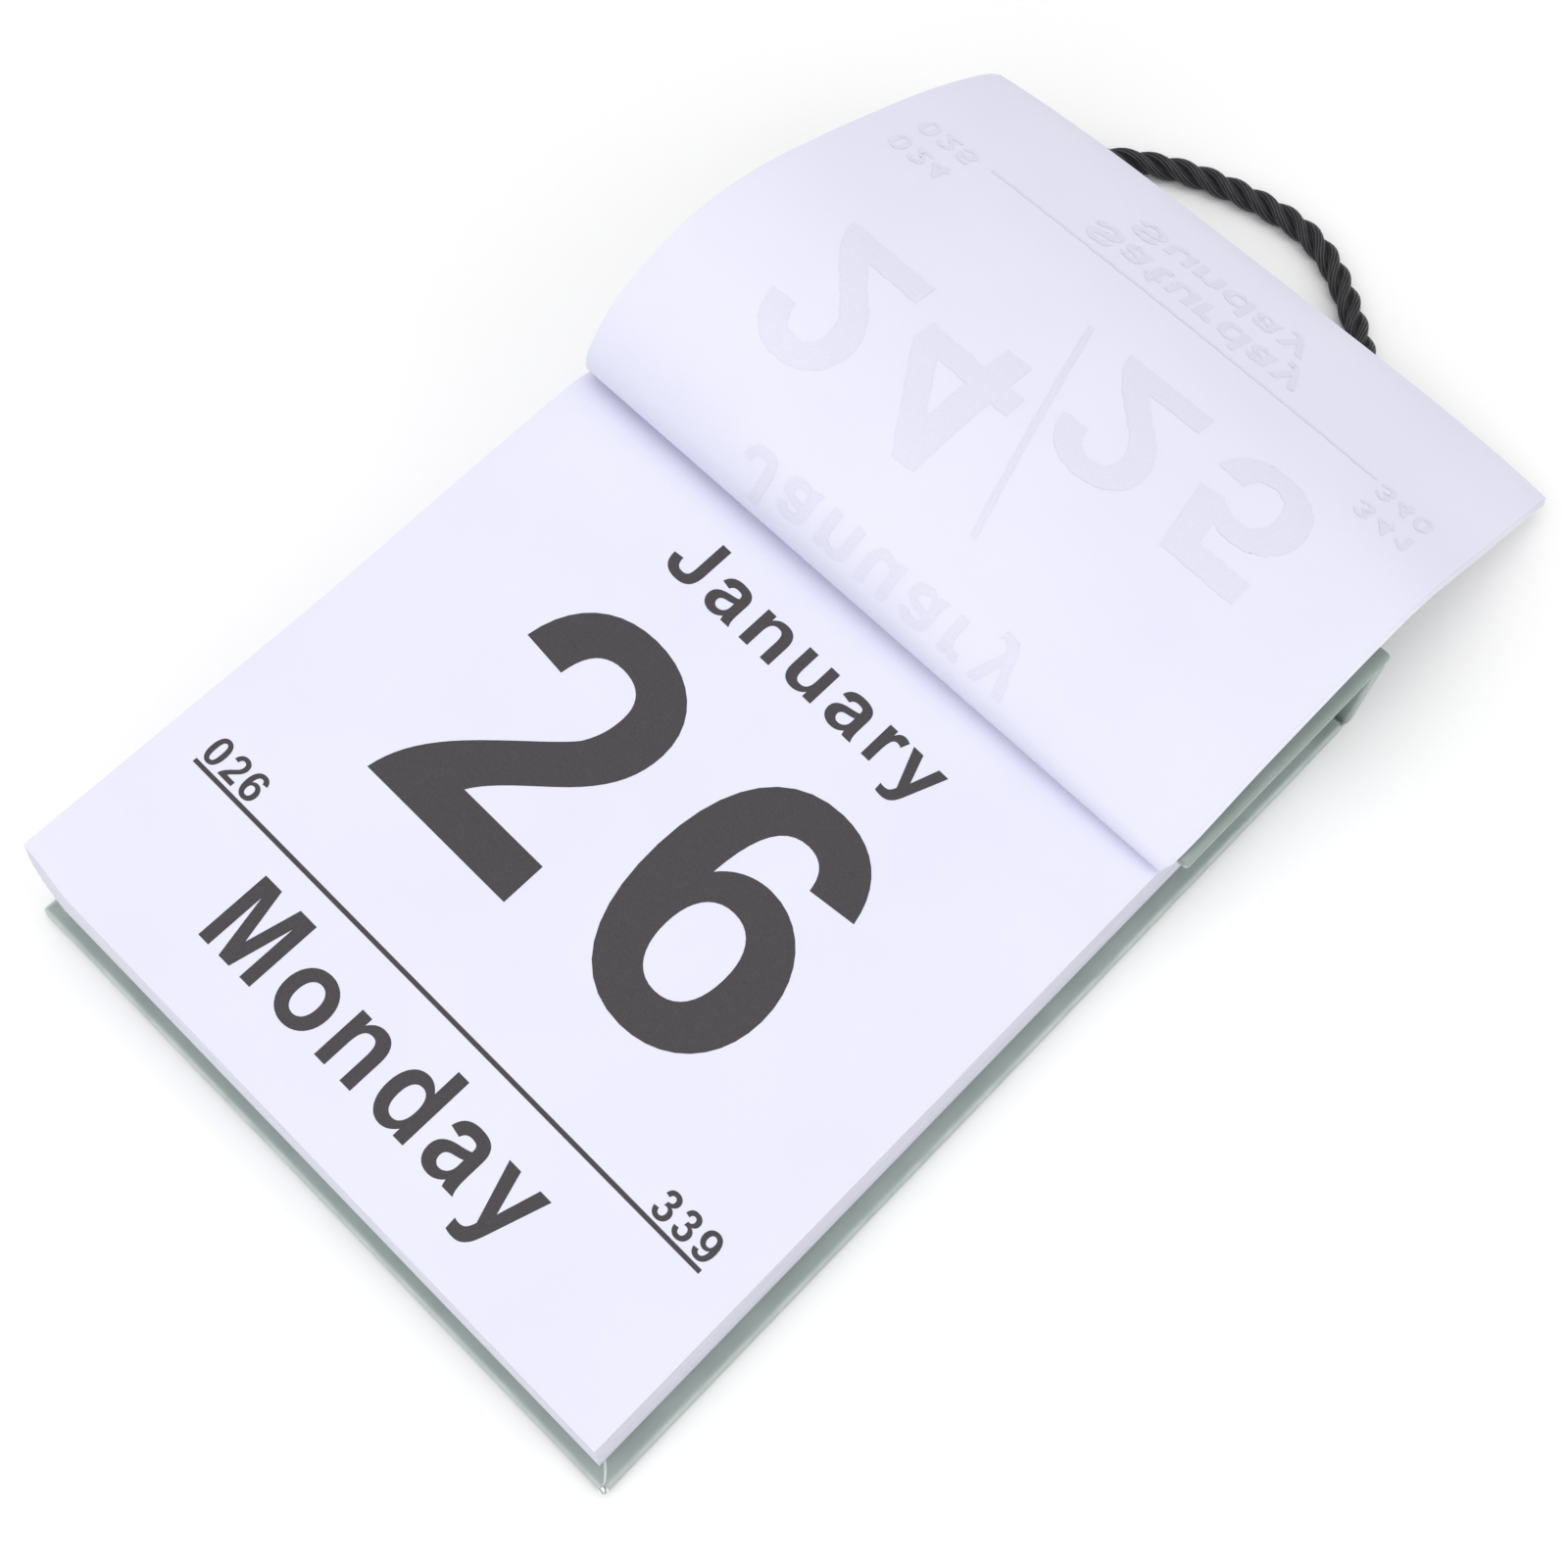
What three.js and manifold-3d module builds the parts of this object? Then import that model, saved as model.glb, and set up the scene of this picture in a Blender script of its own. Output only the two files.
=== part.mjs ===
// Tear-off day calendar, lying on its back as in the photo.
//
// A wrapped board case holds a pad of leaves. The case is one covering sheet folded around
// three greyboards: the back, the spine at the head and a short flap that covers the top of
// the pad. The leaves for the days that have passed are turned up around the front of the flap
// and lie over it, beyond the head. A rope loop comes out of two holes in the spine.
//
// Frame: X across the page, +Y towards the head, +Z out of the page. The origin is the centre
// of the back panel's underside. All sizes are in millimetres.

import * as THREE from 'three';
import * as BufferGeometryUtils from 'three/addons/utils/BufferGeometryUtils.js';
import Module from 'manifold-3d';

const wasm = await Module();
wasm.setup();

// Case: boards and covering sheet
const caseWidth = 150;
const caseLength = 207;
const boardCore = 2.1;
const coverSheet = 0.25;
const boardClearance = 0.1;
const turnInWidth = 15;
const flapDepth = 59.8;
const jointWidth = 1.2;
const flapJointGap = 0.6;

// Pad: backing card, leaves still on the pad, and leaves turned over the flap
const leafWidth = 142.2;
const leafRightMargin = 3.6;
const leafFootMargin = 2.6;
const headChannel = 8;
const backingCard = 0.6;
const blockThickness = 20.6;
const turnedThickness = 1.1;
const freeEdgeBow = 2.2;
const sheetGap = 0.15;
const glueThickness = 0.5;

// The pad is loose along its left side, where the leaves stand apart and carry the flap up
const flapLift = 11.5;
const puffLift = 14.3;
const puffSetback = 12;
const footLift = 11.8;
const liftRiseLength = 75;
const cornerSlip = 1.2;
const cornerSlipReach = 14;

// Hanging rope, its holes in the spine and its stopper knots
const ropeDiameter = 5.5;
const ropeHoleClearance = 0.35;
const ropeHoleInset = 23;
const ropeHoleHeight = 12.5;
const knotLength = 6;
const knotRadius = 4.2;
const knotGap = 0.3;

// Sizes that follow from those above
const panelThickness = boardCore + 2 * (coverSheet + boardClearance);
const caseHalf = caseWidth / 2;
const foot = -caseLength / 2;
const head = caseLength / 2;
const spineInner = head - panelThickness;
const backPanelEnd = spineInner - jointWidth;
const flapFront = head - flapDepth;
const leafRight = caseHalf - leafRightMargin;
const leafLeft = leafRight - leafWidth;
const leafFoot = foot + leafFootMargin;
const leafHead = spineInner - headChannel;
const cardTop = panelThickness + backingCard;
const blockTop = cardTop + blockThickness;
const turnedBottom = blockTop + sheetGap;
const turnedTop = turnedBottom + turnedThickness;
const flapBottom = turnedTop + sheetGap;
const flapTop = flapBottom + panelThickness;
const spineTop = flapBottom - flapJointGap;
const puffLine = flapFront - puffSetback;

// Looks
const sageCover = { color: 0xa3ada9, roughness: 0.72, metalness: 0 };
const greyBoard = { color: 0x9a958c, roughness: 0.95, metalness: 0 };
const whitePaper = { color: 0xe9e9f4, roughness: 0.85, metalness: 0 };
const liningPaper = { color: 0xe4e3dd, roughness: 0.9, metalness: 0 };
const whiteCard = { color: 0xf0f0ee, roughness: 0.9, metalness: 0 };
const clearGlue = { color: 0xdcdccf, roughness: 0.5, metalness: 0 };
const blackRope = { color: 0x29292b, roughness: 0.6, metalness: 0 };

function smooth(value) {
  const t = THREE.MathUtils.clamp(value, 0, 1);
  return t * t * (3 - 2 * t);
}

function spread(from, to, steps) {
  return Array.from({ length: steps + 1 }, (_, i) => from + ((to - from) * i) / steps);
}

// Height that the loose left side gains at a distance y up the page
function sideLift(y) {
  if (y >= spineInner) {
    return 0;
  }
  if (y >= flapFront) {
    return (flapLift * (spineInner - y)) / (spineInner - flapFront);
  }
  if (y >= puffLine) {
    return THREE.MathUtils.lerp(flapLift, puffLift, smooth((flapFront - y) / puffSetback));
  }
  return THREE.MathUtils.lerp(puffLift, footLift, smooth((puffLine - y) / liftRiseLength));
}

// Share of that height at x: all of it at the left edge, none at the right
function leftShare(x) {
  return Math.max(0, (leafRight - x) / leafWidth);
}

function padShare(z) {
  return THREE.MathUtils.clamp((z - cardTop) / (blockTop - cardTop), 0, 1);
}

function topHeight(x, y) {
  return blockTop + leftShare(x) * sideLift(y);
}

// Moves a point of the flat pad or flap to where the loose left side carries it
function settle(x, y, z) {
  return new THREE.Vector3(x, y, z + leftShare(x) * sideLift(y) * padShare(z));
}

// As settle, with the free corner of the top leaves slipped towards the head
function settleLeaf(x, y, z) {
  const point = settle(x, y, z);
  const nearCorner = 1 - Math.hypot(x - leafLeft, y - leafFoot) / cornerSlipReach;
  point.y += cornerSlip * smooth(nearCorner) * padShare(z) ** 4;
  return point;
}

// Closed body of grid cells: xs, ys and zs are the cell limits, and place moves each corner
function cellBody(xs, ys, zs, isFilled, place) {
  const positions = [];
  const faces = [];
  const known = new Map();
  const filled = (i, j, k) =>
    i >= 0 && j >= 0 && k >= 0 && i < xs.length - 1 && j < ys.length - 1 && k < zs.length - 1 &&
    isFilled((xs[i] + xs[i + 1]) / 2, (ys[j] + ys[j + 1]) / 2, (zs[k] + zs[k + 1]) / 2);
  const corner = (i, j, k) => {
    const key = (i * ys.length + j) * zs.length + k;
    if (!known.has(key)) {
      known.set(key, positions.length / 3);
      positions.push(...place(xs[i], ys[j], zs[k]).toArray());
    }
    return known.get(key);
  };
  const quad = (a, b, c, d, flip) => {
    const [p, q, r, s] = [a, b, c, d].map((at) => corner(...at));
    faces.push(...(flip ? [p, r, q, p, s, r] : [p, q, r, p, r, s]));
  };
  for (let i = 0; i < xs.length - 1; i++) {
    for (let j = 0; j < ys.length - 1; j++) {
      for (let k = 0; k < zs.length - 1; k++) {
        if (!filled(i, j, k)) {
          continue;
        }
        for (const [side, flip] of [[1, false], [0, true]]) {
          const step = flip ? -1 : 1;
          const [u, v, w] = [i + side, j + side, k + side];
          if (!filled(i + step, j, k)) {
            quad([u, j, k], [u, j + 1, k], [u, j + 1, k + 1], [u, j, k + 1], flip);
          }
          if (!filled(i, j + step, k)) {
            quad([i, v, k], [i, v, k + 1], [i + 1, v, k + 1], [i + 1, v, k], flip);
          }
          if (!filled(i, j, k + step)) {
            quad([i, j, w], [i + 1, j, w], [i + 1, j + 1, w], [i, j + 1, w], flip);
          }
        }
      }
    }
  }
  const geometry = new THREE.BufferGeometry();
  geometry.setAttribute('position', new THREE.Float32BufferAttribute(positions, 3));
  geometry.setIndex(faces);
  return geometry;
}

function box(x0, x1, y0, y1, z0, z1) {
  const geometry = new THREE.BoxGeometry(x1 - x0, y1 - y0, z1 - z0);
  return geometry.translate((x0 + x1) / 2, (y0 + y1) / 2, (z0 + z1) / 2);
}

function toSolid(geometry) {
  const bare = geometry.clone();
  bare.deleteAttribute('normal');
  bare.deleteAttribute('uv');
  const merged = BufferGeometryUtils.mergeVertices(bare);
  return new wasm.Manifold(new wasm.Mesh({
    numProp: 3,
    vertProperties: new Float32Array(merged.attributes.position.array),
    triVerts: new Uint32Array(merged.index.array),
  }));
}

function toGeometry(solid) {
  const mesh = solid.getMesh();
  const geometry = new THREE.BufferGeometry();
  geometry.setAttribute('position', new THREE.BufferAttribute(mesh.vertProperties, 3));
  geometry.setIndex(new THREE.BufferAttribute(mesh.triVerts, 1));
  return geometry;
}

const ropeHoleXs = [ropeHoleInset - caseHalf, caseHalf - ropeHoleInset];

// Takes the two rope holes out of a wall at the head
function withRopeHoles(geometry) {
  const radius = ropeDiameter / 2 + ropeHoleClearance;
  let solid = toSolid(geometry);
  for (const x of ropeHoleXs) {
    const drill = new THREE.CylinderGeometry(radius, radius, 4 * panelThickness, 24);
    drill.translate(x, (spineInner + head) / 2, ropeHoleHeight);
    solid = solid.subtract(toSolid(drill));
  }
  return toGeometry(solid);
}

// Grid lines of the case: the same ones for the cover and the lining, so that they nest
const flapCellsAcross = 8;
const flapCellsDeep = 4;
const boardInset = coverSheet + boardClearance;
const windowHalf = caseHalf - turnInWidth;
const acrossWindow = spread(-windowHalf, windowHalf, flapCellsAcross);
const alongFlap = spread(flapFront + turnInWidth, spineInner, flapCellsDeep);

function caseCover() {
  const xs = [-caseHalf, -caseHalf + coverSheet, ...acrossWindow, caseHalf - coverSheet, caseHalf];
  const ys = [
    foot, foot + coverSheet, foot + turnInWidth, flapFront, flapFront + coverSheet, ...alongFlap,
    spineInner + coverSheet, head - coverSheet, head, backPanelEnd,
  ].sort((a, b) => a - b);
  const zs = [
    0, coverSheet, panelThickness - coverSheet, panelThickness, spineTop, flapBottom,
    flapBottom + coverSheet, flapTop - coverSheet, flapTop,
  ];
  const isCover = (x, y, z) => {
    const atSide = Math.abs(x) > caseHalf - coverSheet;
    const underTurnIn = Math.abs(x) > windowHalf;
    if (z > flapBottom) {
      const skin = z > flapTop - coverSheet || y > head - coverSheet || y < flapFront + coverSheet;
      const turnIn = z < flapBottom + coverSheet && (underTurnIn || y < flapFront + turnInWidth);
      return y > flapFront && (skin || turnIn || atSide);
    }
    if (y > spineInner) {
      const turnIn = y < spineInner + coverSheet && underTurnIn;
      const beside = z < spineTop && (atSide || turnIn);
      return y > head - coverSheet || z < coverSheet || beside;
    }
    if (z > panelThickness) {
      return false;
    }
    const turnIn = z > panelThickness - coverSheet && (underTurnIn || y < foot + turnInWidth);
    const wrapped = y < backPanelEnd && (turnIn || atSide);
    return z < coverSheet || y < foot + coverSheet || wrapped;
  };
  return withRopeHoles(cellBody(xs, ys, zs, isCover, settle));
}

function liningSheet() {
  const edge = windowHalf - boardClearance;
  const xs = [-edge, ...acrossWindow.slice(1, -1), edge];
  const ys = [
    foot + turnInWidth + boardClearance, flapFront + turnInWidth + boardClearance,
    ...alongFlap.slice(1), spineInner + coverSheet,
  ];
  const zs = [
    panelThickness - coverSheet, panelThickness, spineTop, flapBottom, flapBottom + coverSheet,
  ];
  const isLining = (x, y, z) =>
    z < panelThickness || y > spineInner || (z > flapBottom && y > ys[1]);
  return withRopeHoles(cellBody(xs, ys, zs, isLining, settle));
}

function backBoard() {
  const edge = caseHalf - boardInset;
  const top = panelThickness - boardInset;
  return box(-edge, edge, foot + boardInset, backPanelEnd, boardInset, top);
}

function spineBoard() {
  const edge = caseHalf - boardInset;
  return withRopeHoles(
    box(-edge, edge, spineInner + boardInset, head - boardInset, boardInset, spineTop),
  );
}

function flapBoard() {
  const edge = caseHalf - boardInset;
  const xs = [-edge, ...acrossWindow, edge];
  const ys = [flapFront + boardInset, ...alongFlap, head - boardInset];
  const zs = [flapBottom + boardInset, flapTop - boardInset];
  return cellBody(xs, ys, zs, () => true, settle);
}

function backingCardSheet() {
  return box(leafLeft, leafRight, leafFoot, leafHead, panelThickness, cardTop);
}

const acrossLeaf = spread(leafLeft, leafRight, 12);

function pageBlock() {
  const alongPage = [
    ...spread(leafFoot, leafFoot + cornerSlipReach, 4).slice(0, -1),
    ...spread(leafFoot + cornerSlipReach, puffLine, 8).slice(0, -1),
    ...spread(puffLine, flapFront, 4).slice(0, -1),
    ...spread(flapFront, leafHead, 3),
  ];
  const nearCorner = spread(leafLeft, leafLeft + cornerSlipReach, 4);
  const xs = [...nearCorner, ...acrossLeaf.filter((x) => x > leafLeft + cornerSlipReach)];
  const zs = spread(cardTop, blockTop, 5);
  return cellBody(xs, alongPage, zs, () => true, settleLeaf);
}

function headGlue() {
  const ys = [leafHead, leafHead + glueThickness];
  const zs = [...spread(cardTop, blockTop, 5), turnedTop];
  return cellBody(acrossLeaf, ys, zs, () => true, settle);
}

// Middle of the turned leaves at their left or right edge, from the binding to the free edge.
// Beyond the flap's front each point is a run in shares of the free length, and a height that
// is a share of the flap's height, so the leaves clear the flap and end above the table.
const freeLength = flapFront - leafFoot;

function turnedEdge(x, bend, arch) {
  const halfStack = sheetGap + turnedThickness / 2;
  const start = leafHead - 2 * sheetGap;
  const padRuns = [...spread(start, flapFront + 2, 3), flapFront + 1, flapFront];
  const onPad = padRuns.map((y) => [x, y, topHeight(x, y) + halfStack]);
  const aroundFlap = bend.map(([run, rise, shift]) => [
    x + shift, flapFront + run, topHeight(x, flapFront) + halfStack + rise,
  ]);
  const overFlap = arch.map(([share, heights, shift]) => [
    x + shift, flapFront + share * freeLength, heights * flapTop,
  ]);
  const points = [...onPad, ...aroundFlap, ...overFlap].map((at) => new THREE.Vector3(...at));
  return new THREE.CatmullRomCurve3(points, false, 'centripetal');
}

// Left: the leaves bulge in front of the flap and arch high over it
const leftEdge = turnedEdge(
  leafLeft,
  [
    [-4.2, 1.9, 0.4], [-7.9, 4.1, 0.9], [-9.0, 7.8, 1.6], [-9.0, 11.4, 2.1], [-7.7, 14.9, 2.5],
    [-2.4, 21.5, 2.8],
  ],
  [
    [0.063, 2.225, 2.8], [0.117, 2.285, 2.8], [0.227, 2.235, 2.8], [0.35, 2.03, 2.8],
    [0.47, 1.785, 2.8], [0.6, 1.485, 2.9], [0.718, 1.13, 3.0], [0.747, 1.0, 3.0],
  ],
);

// Right: they fold tightly around the flap's edge, lie close over it and droop to the table
const rightEdge = turnedEdge(
  leafRight,
  [
    [-1.4, 0.05, 0.1], [-2.5, 0.5, 0.3], [-3.1, 1.5, 0.5], [-3.1, 2.8, 0.7], [-2.2, 4.1, 0.9],
    [1.2, 5.4, 1.1],
  ],
  [
    [0.056, 1.13, 1.2], [0.12, 1.215, 1.2], [0.235, 1.25, 1.15], [0.37, 1.26, 1.1],
    [0.477, 1.185, 1.1], [0.652, 0.745, 1.3], [0.813, 0.33, 1.5], [0.859, 0.165, 1.5],
  ],
);

function turnedLeaves() {
  const rows = 56;
  const columns = 12;
  const positions = [];
  const faces = [];
  for (let row = 0; row <= rows; row++) {
    const [left, right] = [leftEdge, rightEdge].map((edge) => edge.getPoint(row / rows));
    const [leftWay, rightWay] = [leftEdge, rightEdge].map((edge) => edge.getTangent(row / rows));
    const nearFreeEdge = smooth((row / rows - 0.6) / 0.4);
    for (let column = 0; column <= columns; column++) {
      const share = column / columns;
      const middle = left.clone().lerp(right, share);
      middle.y += freeEdgeBow * nearFreeEdge * (1 - (2 * share - 1) ** 4);
      const way = leftWay.clone().lerp(rightWay, share).normalize();
      const out = new THREE.Vector3(0, way.z, -way.y).normalize();
      for (const side of [1, -1]) {
        const at = middle.clone().addScaledVector(out, (side * turnedThickness) / 2);
        positions.push(...at.toArray());
      }
    }
  }
  const at = (row, column, side) => 2 * (row * (columns + 1) + column) + side;
  const quad = (a, b, c, d) => faces.push(a, c, b, a, d, c);
  for (let row = 0; row < rows; row++) {
    for (let column = 0; column < columns; column++) {
      const [r, c] = [row + 1, column + 1];
      quad(at(row, column, 0), at(row, c, 0), at(r, c, 0), at(r, column, 0));
      quad(at(row, column, 1), at(r, column, 1), at(r, c, 1), at(row, c, 1));
    }
    quad(at(row, 0, 0), at(row + 1, 0, 0), at(row + 1, 0, 1), at(row, 0, 1));
    quad(at(row, columns, 0), at(row, columns, 1), at(row + 1, columns, 1), at(row + 1, columns, 0));
  }
  for (let column = 0; column < columns; column++) {
    const c = column + 1;
    quad(at(0, column, 0), at(0, column, 1), at(0, c, 1), at(0, c, 0));
    quad(at(rows, column, 0), at(rows, c, 0), at(rows, c, 1), at(rows, column, 1));
  }
  const geometry = new THREE.BufferGeometry();
  geometry.setAttribute('position', new THREE.Float32BufferAttribute(positions, 3));
  geometry.setIndex(faces);
  return geometry;
}

// Route of the rope: out of the left hole, along the table in an arch, back into the right one.
// Each point of the loop is given as x, distance beyond the head and height.
const ropeStart = spineInner + knotGap;
const ropeLoop = [
  [-52.4, 9.5, 12.3], [-53.4, 17.5, 11.7], [-55, 26.5, 10.6], [-56.5, 36, 9],
  [-57, 45.5, 7.2], [-55.2, 55, 5.3], [-50.6, 63.5, 3.9], [-43.2, 70.8, 3.1],
  [-34, 76.5, 2.85], [-24.5, 80.1, 2.85], [-14, 82.5, 2.85], [-5.5, 83.1, 2.85],
  [2.5, 81.3, 2.85], [10, 77.4, 2.85], [18, 71.8, 2.9], [26, 65.3, 3.2], [33.5, 57.9, 3.9],
  [40, 49.1, 5.1], [45, 38.9, 6.9], [48.6, 27.9, 9], [50.8, 17, 11],
];

function ropeRoute() {
  const [leftHole, rightHole] = ropeHoleXs;
  const loop = ropeLoop.map(([x, beyond, z]) => new THREE.Vector3(x, head + beyond, z));
  const ends = [[leftHole, ropeStart], [leftHole, head + 3.5], [rightHole, head + 5.5],
    [rightHole, ropeStart]].map(([x, y]) => new THREE.Vector3(x, y, ropeHoleHeight));
  return new THREE.CatmullRomCurve3([...ends.slice(0, 2), ...loop, ...ends.slice(2)]);
}

function hangingRope() {
  const sides = 10;
  const steps = 26;
  const round = new THREE.Shape();
  for (let i = 0; i < sides; i++) {
    const angle = (2 * Math.PI * i) / sides;
    const point = [Math.cos(angle), Math.sin(angle)].map((v) => (v * ropeDiameter) / 2);
    if (i === 0) {
      round.moveTo(...point);
    } else {
      round.lineTo(...point);
    }
  }
  const bar = { steps, extrudePath: ropeRoute(), bevelEnabled: false };
  return new THREE.ExtrudeGeometry(round, bar);
}

// Stopper knot in the channel between the pad and the spine
function stopperKnot(x) {
  const rounding = knotRadius * 0.4;
  const profile = [
    new THREE.Vector2(0, 0), new THREE.Vector2(knotRadius - rounding, 0),
    new THREE.Vector2(knotRadius, rounding), new THREE.Vector2(knotRadius, knotLength - rounding),
    new THREE.Vector2(knotRadius - rounding, knotLength), new THREE.Vector2(0, knotLength),
  ];
  const knot = new THREE.LatheGeometry(profile, 14);
  return knot.translate(x, spineInner - knotLength, ropeHoleHeight);
}

function addPiece(group, name, geometry, finish) {
  const mesh = new THREE.Mesh(geometry, new THREE.MeshStandardMaterial(finish));
  mesh.name = name;
  group.add(mesh);
}

const calendar = new THREE.Group();
addPiece(calendar, 'case_cover', caseCover(), sageCover);
addPiece(calendar, 'lining_sheet', liningSheet(), liningPaper);
addPiece(calendar, 'back_board', backBoard(), greyBoard);
addPiece(calendar, 'spine_board', spineBoard(), greyBoard);
addPiece(calendar, 'flap_board', flapBoard(), greyBoard);
addPiece(calendar, 'backing_card', backingCardSheet(), whiteCard);
addPiece(calendar, 'page_block', pageBlock(), whitePaper);
addPiece(calendar, 'head_glue', headGlue(), clearGlue);
addPiece(calendar, 'turned_leaves', turnedLeaves(), whitePaper);
addPiece(calendar, 'hanging_rope', hangingRope(), blackRope);
addPiece(calendar, 'knot_left', stopperKnot(ropeHoleXs[0]), blackRope);
addPiece(calendar, 'knot_right', stopperKnot(ropeHoleXs[1]), blackRope);

export default calendar;
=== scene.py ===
"""Tear-off day calendar in a wrapped board case, dressed on its frame.

The calendar lies on its back. The leaves of the past days are turned up around the front of the
head flap, and a twisted rope loop comes out of the spine. X runs across the page, +Y towards the
head and +Z out of the page. Shapes are worked out in millimetres and made in metres.
"""

import logging
import math
import random
from bisect import bisect_left
from dataclasses import dataclass, field
from enum import Enum
from itertools import accumulate
from typing import Callable, Iterable, Sequence

import bmesh
import bpy
from mathutils import Matrix, Vector
from mathutils.geometry import tessellate_polygon


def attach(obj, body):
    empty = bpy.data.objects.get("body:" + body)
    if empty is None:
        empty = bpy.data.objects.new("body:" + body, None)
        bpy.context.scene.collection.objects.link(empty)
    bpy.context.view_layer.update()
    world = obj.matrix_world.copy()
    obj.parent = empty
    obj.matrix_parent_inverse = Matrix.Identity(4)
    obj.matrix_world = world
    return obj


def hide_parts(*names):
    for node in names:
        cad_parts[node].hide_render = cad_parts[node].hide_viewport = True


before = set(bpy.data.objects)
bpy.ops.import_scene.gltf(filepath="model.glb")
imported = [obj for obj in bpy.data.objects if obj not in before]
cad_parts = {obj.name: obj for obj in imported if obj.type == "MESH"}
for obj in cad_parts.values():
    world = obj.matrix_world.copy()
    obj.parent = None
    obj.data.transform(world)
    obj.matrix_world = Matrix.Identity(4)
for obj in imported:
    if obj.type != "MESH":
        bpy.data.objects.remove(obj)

logging.basicConfig(level=logging.INFO, format="%(name)s: %(message)s")
log = logging.getLogger("calendar")

MM = 0.001
BODY = "root"
SHARP_ANGLE = math.radians(50)
Mesh = bpy.types.Mesh
Material = bpy.types.Material
Piece = bpy.types.Object
Socket = bpy.types.NodeSocket
Point = tuple[float, float, float]
Face = tuple[int, ...]

# Case
CASE_HALF = 75.0
HEAD = 103.5
FOOT = -HEAD
PANEL = 2.8
JOINT_WIDTH = 1.2
FLAP_DEPTH = 59.8
FLAP_JOINT_GAP = 0.6
SPINE_INNER = HEAD - PANEL
BACK_END = SPINE_INNER - JOINT_WIDTH
FLAP_FRONT = HEAD - FLAP_DEPTH

# Pad
LEAF_RIGHT = 71.4
LEAF_WIDTH = 142.2
LEAF_LEFT = LEAF_RIGHT - LEAF_WIDTH
FOOT_MARGIN = 2.6
HEAD_CHANNEL = 8.0
LEAF_FOOT = FOOT + FOOT_MARGIN
LEAF_HEAD = SPINE_INNER - HEAD_CHANNEL
CARD_THICK = 0.6
CARD_INSET = 0.5
BLOCK_THICK = 20.6
LEAVES_LEFT = 290
CARD_TOP = PANEL + CARD_THICK
BLOCK_TOP = CARD_TOP + BLOCK_THICK
SHEET_GAP = 0.15
TURNED_THICK = 1.1
FLAP_BOTTOM = BLOCK_TOP + 2 * SHEET_GAP + TURNED_THICK
FLAP_TOP = FLAP_BOTTOM + PANEL
SPINE_TOP = FLAP_BOTTOM - FLAP_JOINT_GAP

# Loose left side of the pad
FLAP_LIFT = 11.5
PUFF_LIFT = 14.3
PUFF_SETBACK = 12.0
PUFF_LINE = FLAP_FRONT - PUFF_SETBACK
FOOT_LIFT = 11.8
RISE_LENGTH = 75.0
CORNER_SLIP = 1.2
CORNER_SLIP_REACH = 14.0

# Edges of the turned leaves around the flap's front: run, rise and sideways shift
LEFT_BEND = [(-4.2, 1.9, 0.4), (-7.9, 4.1, 0.9), (-9.0, 7.8, 1.6), (-9.0, 11.4, 2.1),
             (-7.7, 14.9, 2.5), (-2.4, 21.5, 2.8)]
RIGHT_BEND = [(-1.4, 0.05, 0.1), (-2.5, 0.5, 0.3), (-3.1, 1.5, 0.5), (-3.1, 2.8, 0.7),
              (-2.2, 4.1, 0.9), (1.2, 5.4, 1.1)]

# The same edges beyond the bend: share of the free length, height in flap heights, shift
LEFT_ARCH = [(0.063, 2.225, 2.8), (0.117, 2.285, 2.8), (0.227, 2.235, 2.8), (0.35, 2.03, 2.8),
             (0.47, 1.785, 2.8), (0.6, 1.485, 2.9), (0.718, 1.13, 3.0), (0.747, 1.0, 3.0)]
RIGHT_ARCH = [(0.056, 1.13, 1.2), (0.12, 1.215, 1.2), (0.235, 1.25, 1.15), (0.37, 1.26, 1.1),
              (0.477, 1.185, 1.1), (0.652, 0.745, 1.3), (0.813, 0.33, 1.5), (0.859, 0.165, 1.5)]
FREE_LENGTH = FLAP_FRONT - LEAF_FOOT
FREE_EDGE_BOW = 2.2
BOW_START = 0.6

# Centre line of the rope's loop: x, distance beyond the head, z
ROPE_LOOP: list[Point] = [
    (-52, 3.5, 12.5), (-52.4, 9.5, 12.3), (-53.4, 17.5, 11.7), (-55, 26.5, 10.6), (-56.5, 36, 9),
    (-57, 45.5, 7.2), (-55.2, 55, 5.3), (-50.6, 63.5, 3.9), (-43.2, 70.8, 3.1),
    (-34, 76.5, 2.85), (-24.5, 80.1, 2.85), (-14, 82.5, 2.85), (-5.5, 83.1, 2.85),
    (2.5, 81.3, 2.85), (10, 77.4, 2.85), (18, 71.8, 2.9), (26, 65.3, 3.2), (33.5, 57.9, 3.9),
    (40, 49.1, 5.1), (45, 38.9, 6.9), (48.6, 27.9, 9), (50.8, 17, 11), (52, 5.5, 12.5),
]


class Slot(Enum):
    """Material slots of the record for the cover, card, leaves and rope; named here, but no piece is given
    one.
    """

    COVER = "sage_cover"
    CARD = "white_card"
    LEAF = "leaf_paper"
    ROPE = "black_rope"


def linear(colour: str) -> tuple[float, float, float, float]:
    """Turn an sRGB hex colour into linear values.

    Args:
        colour: Six hex digits with a leading hash.

    Returns:
        Linear red, green, blue and an alpha of one.
    """
    values = [int(colour[i : i + 2], 16) / 255 for i in (1, 3, 5)]
    curve = [v / 12.92 if v <= 0.04045 else ((v + 0.055) / 1.055) ** 2.4 for v in values]
    return (*curve, 1.0)


def smooth(value: float) -> float:
    """Smooth step of a value limited to 0 and 1."""
    t = min(1.0, max(0.0, value))
    return t * t * (3 - 2 * t)


def spread(start: float, end: float, steps: int) -> list[float]:
    """Evenly spaced values from start to end, both included."""
    return [start + (end - start) * i / steps for i in range(steps + 1)]


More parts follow.
